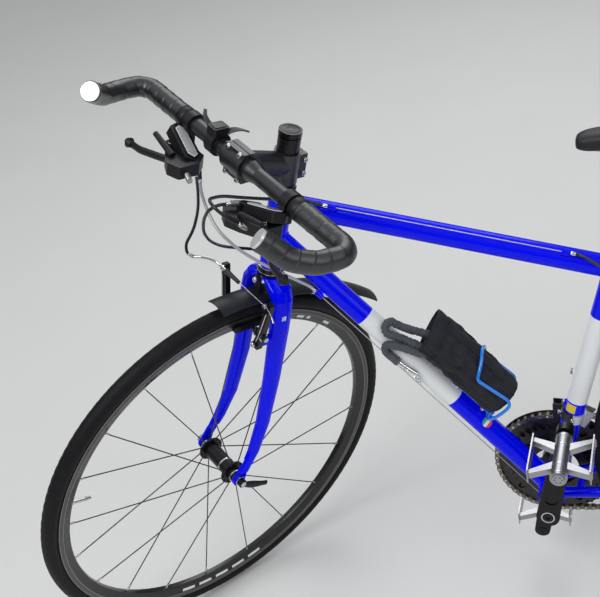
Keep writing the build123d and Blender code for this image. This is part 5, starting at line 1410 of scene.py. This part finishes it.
# Floor, light and camera
half_room = 9.0
floor_level = cad_box[0].z - 0.0005
floor_shape = Shape()
corners = [(-half_room, -half_room), (half_room, -half_room), (half_room, half_room), (-half_room, half_room)]
floor_shape.plate(corners, X_AXIS, Y_AXIS, (0.3, 0, floor_level), -0.02, 0.0)
floor_finish = surface("pale_floor", (0.78, 0.78, 0.77), 0.7, spread=0.02, spread_scale=4.0)
floor_mesh = bpy.data.meshes.new("floor")
floor_mesh.from_pydata(floor_shape.points, [], floor_shape.faces)
floor_mesh.materials.append(floor_finish)
floor = put("floor", floor_mesh)

world = bpy.data.worlds.new("studio")
bpy.context.scene.world = world
world.use_nodes = True
sky = world.node_tree
background = sky.nodes["Background"]
path_kind = add(sky, "LightPath")
heading = add(sky, "TexCoord").outputs["Generated"]
height = add(sky, "SeparateXYZ", {0: heading}).outputs["Z"]
mirrored = add(sky, "MapRange", {0: height, 1: 0.05, 2: 0.9, 3: 0.03, 4: 0.75}).outputs[0]
glossy = add(sky, "MapRange", {0: path_kind.outputs["Is Glossy Ray"], 1: 0.0, 2: 1.0, 3: 0.42, 4: mirrored}).outputs[0]
strength = add(sky, "MapRange", {0: path_kind.outputs["Is Camera Ray"], 1: 0.0, 2: 1.0, 3: glossy, 4: 0.9}).outputs[0]
background.inputs["Color"].default_value = (0.96, 0.98, 1.0, 1.0)
sky.links.new(strength, background.inputs["Strength"])


def lamp(name, spot, aim, size, power):
    """Soft square lamp."""
    data = bpy.data.lights.new(name, "AREA")
    data.size = size
    data.energy = power
    made = put(name, data)
    made.location = spot
    made.rotation_mode = "QUATERNION"
    made.rotation_quaternion = (Vector(aim) - Vector(spot)).to_track_quat("-Z", "Y")


lamp("key_light", (1.6, 2.4, 2.6), (0.4, 0, -0.4), 2.2, 70)
lamp("fill_light", (-2.2, 1.2, 1.6), (0.3, 0, -0.4), 2.5, 26)
lamp("back_light", (0.6, -2.6, 2.2), (0.3, 0, -0.3), 2.0, 30)

camera_spot = Vector((-253.8, 1463.6, 1284.0))
camera_right = Vector((-0.9424, -0.2725, -0.1939)).normalized()
camera_up = Vector((-0.0177, -0.5383, 0.8426)).normalized()
picture_width, focal_pixels, sensor = 600, 1175.39, 36.0
camera_data = bpy.data.cameras.new("camera")
camera_data.sensor_width = sensor
camera_data.lens = focal_pixels / picture_width * sensor
camera = put("camera", camera_data)
camera_back = camera_right.cross(camera_up).normalized()
camera_up = camera_back.cross(camera_right)
camera_place = Matrix((camera_right, camera_up, camera_back)).transposed().to_4x4()
camera_place.translation = AT_FRAME @ camera_spot
camera.matrix_world = camera_place
bpy.context.scene.camera = camera
bpy.context.scene.view_settings.view_transform = "Standard"
